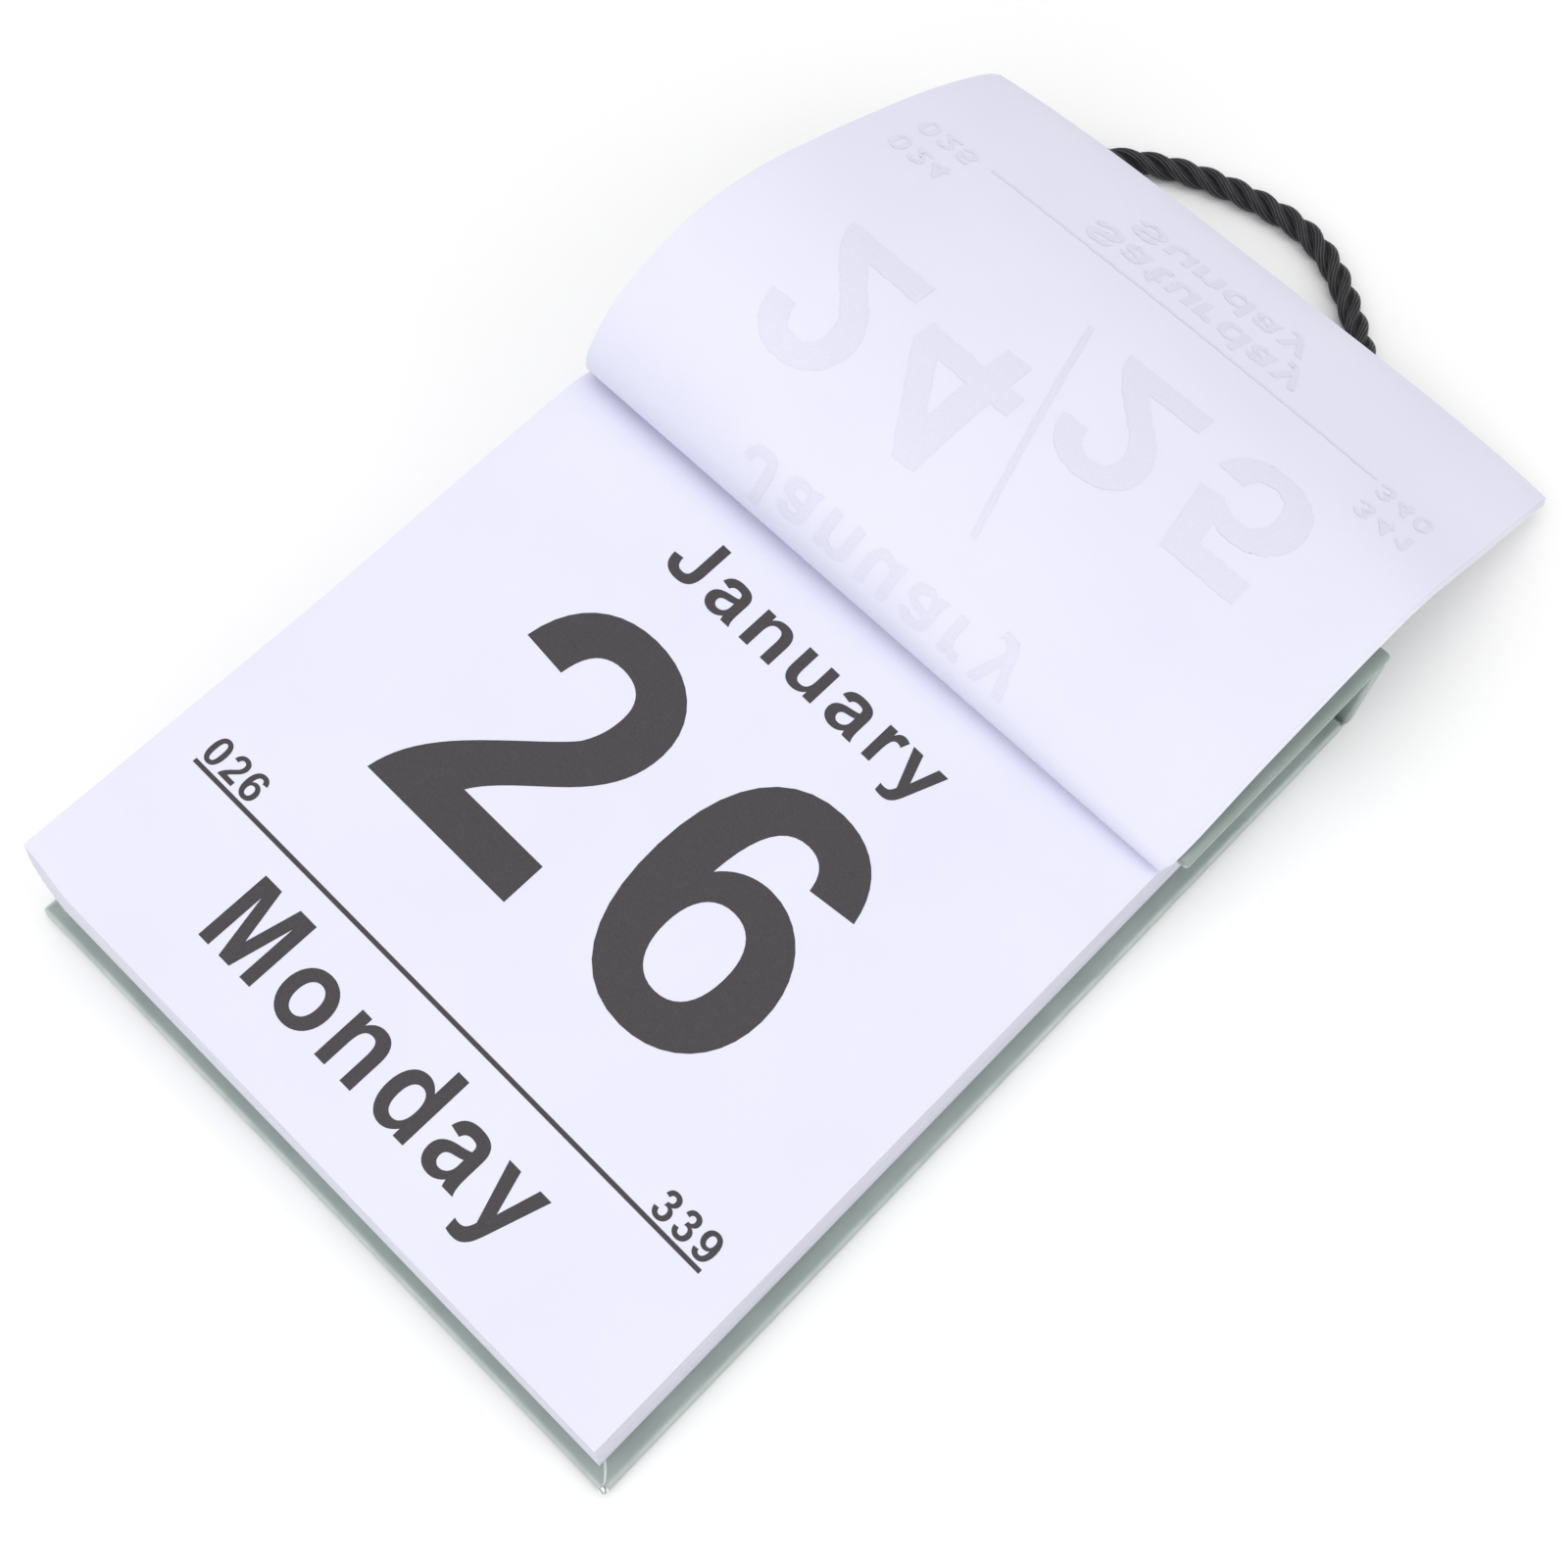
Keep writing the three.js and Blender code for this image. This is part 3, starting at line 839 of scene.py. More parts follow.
Outline = list[tuple[float, ...]]
Shape = list[list[Vector]]
STRAIGHT = 2
CAP_HEIGHT = 716
CURVE_STEPS = 10
GLYPHS: dict[str, str] = {
    "0": """275 719, 120 719 42 580 42 353, 42 126 120 -12 275 -12, 430 -12 507 126 507 353, 507 580 430
        719 275 719; 275 605, 345 605 366 520 366 353, 366 185 345 100 275 100, 205 100 184 185 184 353,
        184 520 205 605 275 605""",
    "1": """393 0, 256 0, 256 517, 190 455 130 425 56 405, 56 530, 150 560 240 630 281 719, 393 719""",
    "2": """29 502, 46 640 132 716 257 716, 389 716 476 634 476 519, 476 426 432 356 356 283, 297 226 238
        175 211 124, 476 124, 476 0, 12 0, 22 81 64 150 144 233, 217 309 281 363 313 405, 335 443 343 478
        343 518, 343 575 310 605 253 605, 195 605 164 568 156 492""",
    "3": """38 190, 171 206, 178 140 210 100 270 100, 333 100 372 146 372 216, 372 286 333 331 272 331,
        252 331 232 327 208 320, 223 432, 304 430 347 467 347 525, 347 575 316 607 266 607, 218 607 186
        574 178 515, 52 537, 75 665 150 719 268 719, 400 719 484 640 484 540, 484 470 445 415 370 385,
        458 362 512 300 512 212, 512 85 410 -12 270 -12, 140 -12 50 70 38 190""",
    "4": """315 0, 315 144, 22 144, 22 264, 332 719, 447 719, 447 265, 536 265, 536 144, 447 144, 447 0;
        315 265, 315 509, 151 265""",
    "5": """45 184, 182 198, 190 135 225 98 276 98, 335 98 375 145 375 237, 375 323 335 366 272 366, 232
        366 197 348 166 312, 55 328, 125 706, 493 706, 493 575, 231 575, 209 452, 240 468 272 475 305
        475, 425 475 516 380 516 240, 516 90 415 -12 276 -12, 145 -12 58 62 45 184""",
    "6": """499 547, 479 662 405 724 297 724, 139 724 41 590 41 358, 41 120 132 -12 286 -12, 419 -12 511
        87 511 226, 511 365 421 466 309 466, 256 466 211 443 180 402, 187 544 225 608 293 608, 337 608
        363 583 370 531; 285 365, 350 365 380 310 380 235, 380 155 350 101 285 101, 220 101 190 160 190
        235, 190 310 220 365 285 365""",
    "J": """369 716, 513 716, 513 262, 513 75 440 -12 270 -12, 105 -12 25 70 22 232, 158 248, 161 150 195
        112 268 112, 345 112 369 152 369 262""",
    "M": """73 0, 73 716, 290 716, 418 228, 545 716, 762 716, 762 0, 628 0, 628 564, 486 0, 347 0, 207
        564, 207 0""",
    "S": """36 233, 177 247, 190 160 232 112 312 112, 390 112 432 150 432 200, 432 250 395 268 285 296,
        140 332 65 390 65 520, 65 640 160 728 305 728, 460 728 545 650 552 512, 407 506, 395 580 365 610
        303 610, 240 610 203 580 203 545, 203 500 240 480 345 455, 505 417 578 350 578 208, 578 75 480
        -12 312 -12, 145 -12 50 70 36 233""",
    "a": """174 361, 50 383, 72 480 140 531 268 531, 420 531 491 480 491 355, 490 190, 490 100 496 50 524
        0, 388 0, 378 25 374 42 370 58, 325 8 270 -12 212 -12, 105 -12 35 52 35 147, 35 235 95 290 215
        315, 300 332 340 342 356 352, 356 366, 356 408 335 425 270 425, 215 425 190 402 174 361; 356 262,
        335 252 300 243 250 232, 195 220 172 195 172 158, 172 115 202 83 246 83, 300 83 356 120 356
        200""",
    "d": """547 0, 547 716, 410 716, 410 458, 364 506 314 531 256 531, 130 531 41 430 41 262, 41 95 130
        -12 252 -12, 316 -12 372 15 420 76, 420 0; 294 427, 365 427 410 370 410 255, 410 150 365 92 298
        92, 220 92 181 150 181 265, 181 370 222 427 294 427""",
    "n": """203 0, 66 0, 66 519, 193 519, 193 443, 235 502 290 531 360 531, 475 531 543 462 543 322, 543
        0, 406 0, 406 265, 406 380 385 426 318 426, 240 426 203 380 203 250""",
    "o": """305 531, 150 531 40 420 40 260, 40 100 150 -12 305 -12, 460 -12 570 100 570 260, 570 420 460
        531 305 531; 305 420, 375 420 429 365 429 260, 429 155 375 100 305 100, 235 100 181 155 181 260,
        181 365 235 420 305 420""",
    "r": """203 0, 66 0, 66 519, 193 519, 193 445, 225 510 262 531 305 531, 340 531 368 521 397 507, 354
        388, 330 402 312 408 292 408, 225 408 203 360 203 160""",
    "t": """309 519, 309 409, 215 409, 215 200, 215 120 215 100 255 100, 270 100 290 106 312 114, 324 8,
        290 -6 255 -12 215 -12, 110 -12 78 40 78 160, 78 409, 15 409, 15 519, 78 519, 78 622, 215 702,
        215 519""",
    "y": """7 519, 153 519, 277 151, 398 519, 540 519, 357 20, 322 -76 300 -130 262 -165, 225 -200 190
        -212 135 -212, 100 -212 75 -208 48 -201, 38 -94, 60 -99 80 -101 98 -101, 160 -101 182 -66 205
        -3""",
}


def turned_round(outlines: list[Outline]) -> list[Outline]:
    """Turn a glyph half round, as a 6 becomes a 9 and an n a u.

    Args:
        outlines: Outlines of the glyph.

    Returns:
        Outlines of the turned glyph, in the same box.
    """
    xs = [v for outline in outlines for step in outline for v in step[0::2]]
    ys = [v for outline in outlines for step in outline for v in step[1::2]]
    cx, cy = min(xs) + max(xs), min(ys) + max(ys)
    return [
        [tuple(cx - v if i % 2 == 0 else cy - v for i, v in enumerate(step)) for step in outline]
        for outline in outlines
    ]


OUTLINES: dict[str, list[Outline]] = {
    glyph: [[tuple(map(float, step.split())) for step in part.split(",")] for part in text.split(";")]
    for glyph, text in GLYPHS.items()
}
OUTLINES["9"] = turned_round(OUTLINES["6"])
OUTLINES["u"] = turned_round(OUTLINES["n"])


def trace(outline: Outline) -> list[tuple[float, float]]:
    """Follow an outline of straight lines and cubic curves.

    Args:
        outline: Steps of the outline.

    Returns:
        Points along it, with the first one not repeated.
    """
    points: list[tuple[float, float]] = [outline[0][:2]]
    for step in outline[1:]:
        if len(step) == STRAIGHT:
            points.append(step)
            continue
        x0, y0 = points[-1]
        x1, y1, x2, y2, x3, y3 = step
        for t in spread(0, 1, CURVE_STEPS)[1:]:
            a, b, c, d = (1 - t) ** 3, 3 * t * (1 - t) ** 2, 3 * t * t * (1 - t), t**3
            points.append((a * x0 + b * x1 + c * x2 + d * x3, a * y0 + b * y1 + c * y2 + d * y3))
    if math.dist(points[0], points[-1]) < 1e-6:
        points.pop()
    return points


@dataclass(frozen=True)
class Word:
    """One word or number: its text, cap height, baseline and the left and right of each glyph."""

    text: str
    height: float
    base: float
    spans: tuple[tuple[float, float], ...]

    def shapes(self) -> list[Shape]:
        """Lay the glyphs out on the flat page.

        Returns:
            Outlines of each glyph.
        """
        shapes = []
        scale = self.height / CAP_HEIGHT
        for glyph, (left, right) in zip(self.text, self.spans):
            outlines = [trace(outline) for outline in OUTLINES[glyph]]
            xs = [x for x, _ in outlines[0]]
            low, wide = min(xs), max(xs) - min(xs)
            shapes.append([
                [Vector((left + (x - low) * (right - left) / wide, self.base + y * scale, 0)) for x, y in o]
                for o in outlines
            ])
        return shapes


def bar(x0: float, x1: float, y0: float, y1: float) -> Shape:
    """Outline of a printed bar."""
    return [[Vector(p) for p in ((x0, y0, 0), (x1, y0, 0), (x1, y1, 0), (x0, y1, 0))]]


def spans(left: float, right: float, widths: Sequence[float], gap: float) -> tuple[tuple[float, float], ...]:
    """Set a word's glyphs between two limits.

    Args:
        left: Left limit.
        right: Right limit.
        widths: Widths of the glyphs, in any unit.
        gap: Gap between them, in the same unit.

    Returns:
        Left and right of each glyph.
    """
    unit = (right - left) / (sum(widths) + gap * (len(widths) - 1))
    result = []
    at = left
    for width in widths:
        result.append((at, at + width * unit))
        at += (width + gap) * unit
    return tuple(result)


DAY_WORDS = [
    Word("January", 11.1, 17.8, ((-32.9, -25.5), (-22.8, -15.4), (-12.8, -5.1), (-2.3, 5.4),
                                 (8.0, 15.7), (18.4, 23.4), (24.3, 32.9))),
    Word("26", 54.0, -47.6, ((-41.0, -6.0), (5.1, 40.6))),
    Word("026", 5.7, -67.3, ((-62.7, -59.1), (-58.1, -54.6), (-53.7, -49.9))),
    Word("339", 5.7, -67.4, ((49.8, 53.4), (54.5, 58.1), (59.2, 63.1))),
    Word("Monday", 15.25, -89.0, ((-38.0, -25.0), (-21.7, -11.5), (-8.7, 0.2), (3.5, 13.2),
                                  (16.1, 25.3), (27.5, 37.6))),
]
RULE = (-62.7, 63.2, -68.9, -68.0)

# The leaf of the days before, seen through its back
SEEN_TILT = 0.078
WEEKEND_WORDS = [
    Word("January", 10.6, 21.1, spans(-35.0, 30.0, (7.4, 7.4, 7.7, 7.7, 7.7, 5.0, 8.6), 2.6)),
    Word("24", 33.0, -25.8, ((-52.0, -32.5), (-27.5, -5.5))),
    Word("25", 31.0, -44.7, ((0.0, 20.0), (27.0, 48.5))),
    Word("024", 5.6, -55.6, spans(-64.0, -51.3, (3.6, 3.6, 3.6), 1.0)),
    Word("025", 5.6, -65.3, spans(-64.0, -51.3, (3.6, 3.6, 3.6), 1.0)),
    Word("341", 5.6, -55.4, spans(49.4, 62.0, (3.6, 3.6, 2.6), 1.3)),
    Word("340", 5.6, -65.0, spans(49.4, 62.4, (3.6, 3.6, 3.6), 1.0)),
    Word("Saturday", 8.6, -75.6, spans(-28.0, 24.0, (7.2, 6, 4.4, 6.4, 4.8, 6.8, 6, 6.8), 1.2)),
    Word("Sunday", 7.6, -86.6, spans(-24.0, 19.0, (7.2, 6.4, 6.4, 6.8, 6, 6.8), 1.2)),
]
SLASH = [Vector(p) for p in ((-9.6, -43.8, 0), (-8.3, -43.8, 0), (7.2, 9.2, 0), (5.9, 9.2, 0))]
WEEKEND_RULE = (-48.0, 48.0, -64.4, -63.6)


def print_mesh(
    name: str, shapes: Iterable[Shape], place: Callable[[float, float], Point], pitch: float
) -> Mesh:
    """Lay flat printed shapes on a curved leaf.

    Args:
        name: Mesh name.
        shapes: Outlines of each shape, holes after the outer one.
        place: Where a point of the flat page lies, in millimetres.
        pitch: Spacing of the cuts that let the print follow the leaf.

    Returns:
        The printed faces, in metres.
    """
    bm = bmesh.new()
    for outlines in shapes:
        verts = [bm.verts.new(v) for outline in outlines for v in outline]
        for triangle in tessellate_polygon(outlines):
            ordered = [verts[i] for i in triangle]
            a, b, c = [v.co for v in ordered]
            if (b - a).cross(c - a).z < 0:
                ordered.reverse()
            if (b - a).cross(c - a).length > 1e-7:
                bm.faces.new(ordered)
    for axis in (0, 1):
        values = [v.co[axis] for v in bm.verts]
        low = min(values)
        cut(bm, axis, [low + k * pitch for k in range(1, int((max(values) - low) / pitch) + 1)])
    for vert in bm.verts:
        vert.co = Vector(place(vert.co.x, vert.co.y)) * MM
    return close_mesh(bm, name, False)


# Pad


@dataclass
class Pad:
    """Leaves still on the pad, with the day's leaf on top, and the card under them."""

    finishes: Finishes
    columns: int = 72
    rows: int = 96
    layers: int = 46
    uneven: float = 0.12
    top_inset: float = 0.02
    run_scale: float = 2.0
    print_lift: float = 0.03
    print_pitch: float = 3.0

    def block(self) -> Piece:
        """Stack of leaves whose cut edges stand in and out a little.

        Returns:
            The piece.
        """
        rng = random.Random(11)
        xs = spread(LEAF_LEFT, LEAF_RIGHT, self.columns)
        ys = spread(LEAF_FOOT, LEAF_HEAD, self.rows)
        flat = [(x, y) for y in ys for x in xs]
        points = [settle_leaf(x, y, BLOCK_TOP) for x, y in flat]
        faces = quads(len(ys), len(xs))
        top_faces = len(faces)
        upper = rim(len(ys), len(xs))
        ring = [flat[index] for index in upper]
        ring_runs = [self.run_scale * at for at in range(len(ring))]
        shares, runs = [1.0] * len(points), [0.0] * len(points)
        for index, run in zip(upper, ring_runs):
            runs[index] = run
        for layer in range(1, self.layers + 1):
            level = 1 - layer / self.layers
            z = CARD_TOP + (BLOCK_TOP - CARD_TOP) * level
            inset_x, inset_y = rng.uniform(0, self.uneven), rng.uniform(0, self.uneven)
            if layer == 1:
                inset_x = inset_y = self.top_inset
            elif layer > self.layers - 2:
                inset_x = inset_y = CARD_INSET
            lower = list(range(len(points), len(points) + len(ring)))
            for x, y in ring:
                points.append(settle_leaf(x - math.copysign(inset_x, x), y - math.copysign(inset_y, y), z))
            shares += [level] * len(ring)
            runs += ring_runs
            faces += walls(upper, lower)
            upper = lower
        faces.append(tuple(reversed(upper)))
        mesh = make_mesh("leaf_stack", points, faces)
        set_values(mesh, "stack_share", shares)
        set_values(mesh, "stack_run", runs)
        piece = add_piece("day_leaf_stack", mesh, self.finishes.leaf, "page_block")
        mesh.materials.append(self.finishes.block_edges)
        for index, polygon in enumerate(mesh.polygons):
            polygon.material_index = 0 if index < top_faces else 1
        mesh.set_sharp_from_angle(angle=SHARP_ANGLE)
        return piece

    def card(self) -> Piece:
        """Backing card, a little smaller than the leaves, so that a shadow line shows under them.

        Returns:
            The piece.
        """
        left, right, foot = LEAF_LEFT + CARD_INSET, LEAF_RIGHT - CARD_INSET, LEAF_FOOT + CARD_INSET
        outline = ((left, foot), (right, foot), (right, LEAF_HEAD), (left, LEAF_HEAD))
        points = [(x, y, z) for z in (PANEL, CARD_TOP) for x, y in outline]
        mesh = make_mesh("card", points, [(3, 2, 1, 0), (4, 5, 6, 7), *quads(2, 4, ring=True)], False)
        return add_piece("pad_backing_card", mesh, self.finishes.card, "backing_card")

    def on_top(self, x: float, y: float) -> Point:
        """Where a point of the day's print lies, just above the top leaf."""
        px, py, pz = settle_leaf(x, y, BLOCK_TOP)
        return (px, py, pz + self.print_lift)

    def day_print(self) -> Piece:
        """Date words and numbers of the day's leaf, with the rule under the counts.

        Returns:
            The piece.
        """
        shapes = [shape for word in DAY_WORDS for shape in word.shapes()]
        mesh = print_mesh("day_print", [*shapes, bar(*RULE)], self.on_top, self.print_pitch)
        return add_piece("day_print", mesh, self.finishes.ink)

    def build(self) -> list[Piece]:
        """Make the leaves, their card and the print."""
        return [self.block(), self.card(), self.day_print()]


@dataclass
class TurnedLeaves:
    """The stack of past days' leaves, turned up around the flap's front."""

    finishes: Finishes
    rows: int = 150
    columns: int = 24
    outer_thick: float = 0.09
    outer_room: float = 0.24
    groups: int = 8
    opening: float = 0.3
    opening_start: float = 0.8
    slip_start: float = 0.35
    slip_length: float = 0.25
    slip_first: float = 0.15
    slip_step: float = 0.06
    slip_spread: float = 0.04
    trim_limit: float = 0.006
    group_fill: float = 0.8
    print_lift: float = 0.06
    print_pitch: float = 1.2
    run_steps: int = 240
    run_columns: int = 48
    runs: dict[float, list[float]] = field(default_factory=dict)

    def __post_init__(self) -> None:
        """Lay the stack's left and right edges."""
        self.left = self.edge(LEAF_LEFT, LEFT_BEND, LEFT_ARCH)
        self.right = self.edge(LEAF_RIGHT, RIGHT_BEND, RIGHT_ARCH)

    def edge(self, x: float, bend: Sequence[Point], arch: Sequence[Point]) -> Spline:
        """Middle of the stack along one edge, from the binding to the free end.

        Args:
            x: Where the edge lies across the page.
            bend: Its points around the flap's front.
            arch: Its points beyond the bend.

        Returns:
            The curve.
        """
        half = SHEET_GAP + TURNED_THICK / 2
        runs = [*spread(LEAF_HEAD - 2 * SHEET_GAP, FLAP_FRONT + 2, 3), FLAP_FRONT + 1, FLAP_FRONT]
        points = [(x, y, BLOCK_TOP + left_share(x) * side_lift(y) + half) for y in runs]
        base = points[-1][2]
        points += [(x + shift, FLAP_FRONT + run, base + rise) for run, rise, shift in bend]
        for part, high, shift in arch:
            points.append((x + shift, FLAP_FRONT + part * FREE_LENGTH, high * FLAP_TOP))
        return Spline(points)

    def at(self, t: float, share: float, out: float = 0.0) -> Vector:
        """Point of the stack.

        Args:
            t: Place along it, from the binding to the free end.
            share: Place across it, from left to right.
            out: How far outwards of its middle.

        Returns:
            The point.
        """
        middle = self.left.at(t).lerp(self.right.at(t), share)
        bow = smooth((t - BOW_START) / (1 - BOW_START)) * (1 - (2 * share - 1) ** 4)
        middle.y += FREE_EDGE_BOW * bow
        way = self.left.way(t).lerp(self.right.way(t), share).normalized()
        return middle + Vector((0, -way.z, way.y)).normalized() * out

    def fan(self, t: float) -> float:
        """How far the leaves stand apart at t, as a multiple of their closed distance."""
        return 1 + self.opening * smooth((t - self.opening_start) / (1 - self.opening_start))

    def face(self, t: float, share: float, lift: float = 0.0) -> Vector:
        """Point of the outer leaf's face, or just above it."""
        return self.at(t, share, TURNED_THICK / 2 * self.fan(t) + lift)

    def sheet(
        self, name: str, out: float, thick: float, trim: float, shift: float, paper: Material
    ) -> Piece:
        """One leaf or a few together.

        Args:
            name: Piece name.
            out: Distance of its outer face from the stack's middle.
            thick: Thickness.
            trim: Share of its length that is left off at its free end.
            shift: Sideways slip at the free end, in millimetres.
            paper: Paper of the faces.

        Returns:
            The piece.
        """
        upper: list[Point] = []
        lower: list[Point] = []
        for t in spread(0, 1 - trim, self.rows):
            slip = Vector((shift * smooth((t - self.slip_start) / self.slip_length), 0, 0))
            for share in spread(1, 0, self.columns):
                upper.append(tuple(self.at(t, share, out * self.fan(t)) + slip))
                lower.append(tuple(self.at(t, share, out * self.fan(t) - thick) + slip))
        size = (self.rows + 1, self.columns + 1)
        low = len(upper)
        ring = rim(*size)[::-1]
        faces = quads(*size, turned=True) + quads(*size, first=low)
        faces += walls(ring, [low + index for index in ring])
        mesh = make_mesh(name, upper + lower, faces)
        mesh.set_sharp_from_angle(angle=SHARP_ANGLE)
        return add_piece(name, mesh, paper, "turned_leaves")

    def seen_at(self, x: float, y: float) -> Point:
        """Where a point of the outer leaf's printed side shows through on its back.

        Args:
            x: Place across the printed page.
            y: Place up the printed page.

        Returns:
            The point, just above the leaf.
        """
        share = min(1.0, max(0.0, (x - LEAF_LEFT) / LEAF_WIDTH))
        column = round(share * self.run_columns) / self.run_columns
        places = spread(0, 1, self.run_steps)
        if column not in self.runs:
            self.runs[column] = lengths([self.face(t, column) for t in places])
        run = self.runs[column]
        wanted = LEAF_HEAD - (y + SEEN_TILT * x)
        index = min(max(bisect_left(run, wanted), 1), len(run) - 1)
        part = (wanted - run[index - 1]) / (run[index] - run[index - 1])
        t = places[index - 1] + (places[index] - places[index - 1]) * part
        return tuple(self.face(t, share, self.print_lift))

    def seen_print(self) -> Piece:
        """Faint print of the weekend leaf, which its own paper lets through.

        Returns:
            The piece.
        """
        shapes = [shape for word in WEEKEND_WORDS for shape in word.shapes()]
        shapes += [[SLASH], bar(*WEEKEND_RULE)]
        mesh = print_mesh("seen_print", shapes, self.seen_at, self.print_pitch)
        return add_piece("print_seen_through", mesh, self.finishes.faint)

    def build(self) -> list[Piece]:
        """Make the visible outer leaf, the leaves under it and their print seen through.

        Returns:
            The pieces.
        """
        rng = random.Random(5)
        half = TURNED_THICK / 2
        step = (TURNED_THICK - self.outer_room) / self.groups
        pieces = [self.sheet("turned_leaf_outer", half, self.outer_thick, 0.0, 0.0, self.finishes.leaf)]
        for k in range(self.groups):
            out = half - self.outer_room - k * step
            trim = rng.uniform(0.0, self.trim_limit)
            slip = self.slip_first + self.slip_step * k + rng.uniform(-self.slip_spread, self.slip_spread)
            name = f"turned_leaf_{k + 1}"
            # The leaves under the outer one take the whiter paper copy, a painted highlight along the
            # stack's edge.
            pieces.append(self.sheet(name, out, step * self.group_fill, trim, slip, self.finishes.leaf_rims_painted_highlight))
        return [*pieces, self.seen_print()]


# Case


@dataclass
class Case:
    """Wrapped boards: back, spine and flap in one covering sheet."""

    finishes: Finishes
    rounding: float = 0.9
    # Where the painted highlight along the panels' rims starts, and how far it fades in.
    rim_highlight_from: float = 0.45
    rim_highlight_over: float = 0.8
    cuts: int = 10
    joint_rounding: float = 0.2
    joint_inset: float = 0.3
    joint_thick: float = 0.8
    joint_sunk: float = 0.02
    joint_overlap: float = 1.5
    spine_overlap: float = 2.0
    seam_profile: tuple[tuple[float, float], ...] = (
        (-0.55, -0.06), (-0.15, 0.26), (0.12, 0.3), (0.3, -0.12)
    )
    seam_steps: int = 14
    seam_bow: float = 0.35
    seam_drop: float = 0.35
    seam_drop_from: float = 0.82
    seam_ridge: float = 0.75
    tuck_inset: float = 0.75
    tuck_radius: float = 0.72
    tuck_swell: float = 0.33
    tuck_folds: int = 4
    crease_slope: float = 2.6

    def panel(self, name: str, low: Point, high: Point, rounding: float) -> Piece:
        """Covered panel with rounded edges, cut finely enough to follow the settled flap.

        Args:
            name: Piece name.
            low: Its lowest corner.
            high: Its highest corner.
            rounding: Radius of the edges.

        Returns:
            The piece. The flap's lower edges carry a painted highlight, and the others' upper ones.
        """
        bm = bmesh.new()
        size = [b - a for a, b in zip(low, high)]
        centre = [(a + b) / 2 for a, b in zip(low, high)]
        bmesh.ops.create_cube(bm, size=1.0, matrix=Matrix.Translation(centre) @ Matrix.Diagonal((*size, 1)))
        bmesh.ops.bevel(bm, geom=bm.edges[:], offset=rounding, segments=4, profile=0.5, affect="EDGES")
        for axis in (0, 1):
            places = spread(low[axis] + rounding, high[axis] - rounding, self.cuts)
            places[0], places[-1] = low[axis] + 1.5 * rounding, high[axis] - 1.5 * rounding
            cut(bm, axis, places)
        rims: list[float] = []
        for vert in bm.verts:
            depth = sorted(min(v - a, b - v) / rounding for v, a, b in zip(vert.co, low, high))[1]
            # Painted highlight along the rims: on the flap's lower edges and the other panels' upper ones,
            # fading inwards.
            rim_highlight = (vert.co.z < centre[2]) == (name == "cover_flap")
            rims.append(1 - smooth((depth - self.rim_highlight_from) / self.rim_highlight_over) if rim_highlight else 0.0)
            vert.co = Vector(settle(*vert.co)) * MM
        mesh = close_mesh(bm, name)
        set_values(mesh, "painted_rim_highlight", rims)
        return add_piece(name, mesh, self.finishes.cover, "case_cover")

    def corner_fold(self, name: str, side: int) -> Piece:
        """Mitred seam of the turn-ins at a foot corner, with a crumpled tuck at the right one's tip that
        takes painted shade in its creases and a painted highlight on its ridges.

        Args:
            name: Piece name.
            side: 1 at the right corner, -1 at the left one.

        Returns:
            The piece.
        """
        bm = bmesh.new()
        start = Vector((side * (LEAF_RIGHT - 1.5), FOOT + 5.0, PANEL - 0.05))
        end = Vector((side * (CASE_HALF - 0.7), FOOT + 0.75, PANEL - 0.2))
        along = end - start
        across = Vector((-along.y, along.x, 0)).normalized() * side
        rows = []
        for t in spread(0, 1, self.seam_steps):
            centre = start + along * t + across * (self.seam_bow * math.sin(math.pi * t))
            centre.z -= self.seam_drop * smooth((t - self.seam_drop_from) / (1 - self.seam_drop_from))
            ribs = [centre + across * u + Vector((0, 0, h)) for u, h in self.seam_profile]
            rows.append([bm.verts.new(point) for point in ribs])
        for a, b in zip(rows, rows[1:]):
            for k in range(len(self.seam_profile) - 1):
                face = (a[k], a[k + 1], b[k + 1], b[k])
                bm.faces.new(face if side > 0 else (face[0], *face[:0:-1]))
        bmesh.ops.recalc_face_normals(bm, faces=bm.faces[:])
        # The seam takes one pale place on the fold ramp; the tuck's ridge values give painted shade in its
        # creases and a painted highlight on its ridges.
        ridges = [self.seam_ridge] * len(bm.verts)
        if side > 0:
            ridges += self.tuck(bm)
        for vert in bm.verts:
            vert.co *= MM
        mesh = close_mesh(bm, name)
        set_values(mesh, "fold_ridge", ridges)
        finish = self.finishes.fold if side > 0 else self.finishes.cover
        return add_piece(name, mesh, finish)

    def tuck(self, bm: bmesh.types.BMesh) -> list[float]:
        """Add the crumpled tuck at the right foot corner's tip.

        Args:
            bm: Mesh that it joins, in millimetres.

        Returns:
            How high each of its points lies on a crease's ridge.
        """
        rng = random.Random(4)
        inset = self.tuck_inset
        tip = Vector((CASE_HALF - inset, FOOT + inset, PANEL - inset))
        ball = bmesh.ops.create_icosphere(bm, subdivisions=4, radius=1.0)["verts"]
        folds = [
            (rng.uniform(0, 6.28), rng.uniform(-1, 1), rng.uniform(2.0, 3.2)) for _ in range(self.tuck_folds)
        ]
        ridges = []
        for vert in ball:
            p = vert.co.copy()
            places = [(p.x * math.cos(a) + p.y * math.sin(a) + h * p.z, a, f) for a, h, f in folds]
            crease = min(abs(math.sin(f * place + a)) for place, a, f in places)
            ridge = min(1.0, self.crease_slope * crease)
            ridges.append(ridge)
            vert.co = tip + p * (self.tuck_radius + self.tuck_swell * ridge)
        return ridges

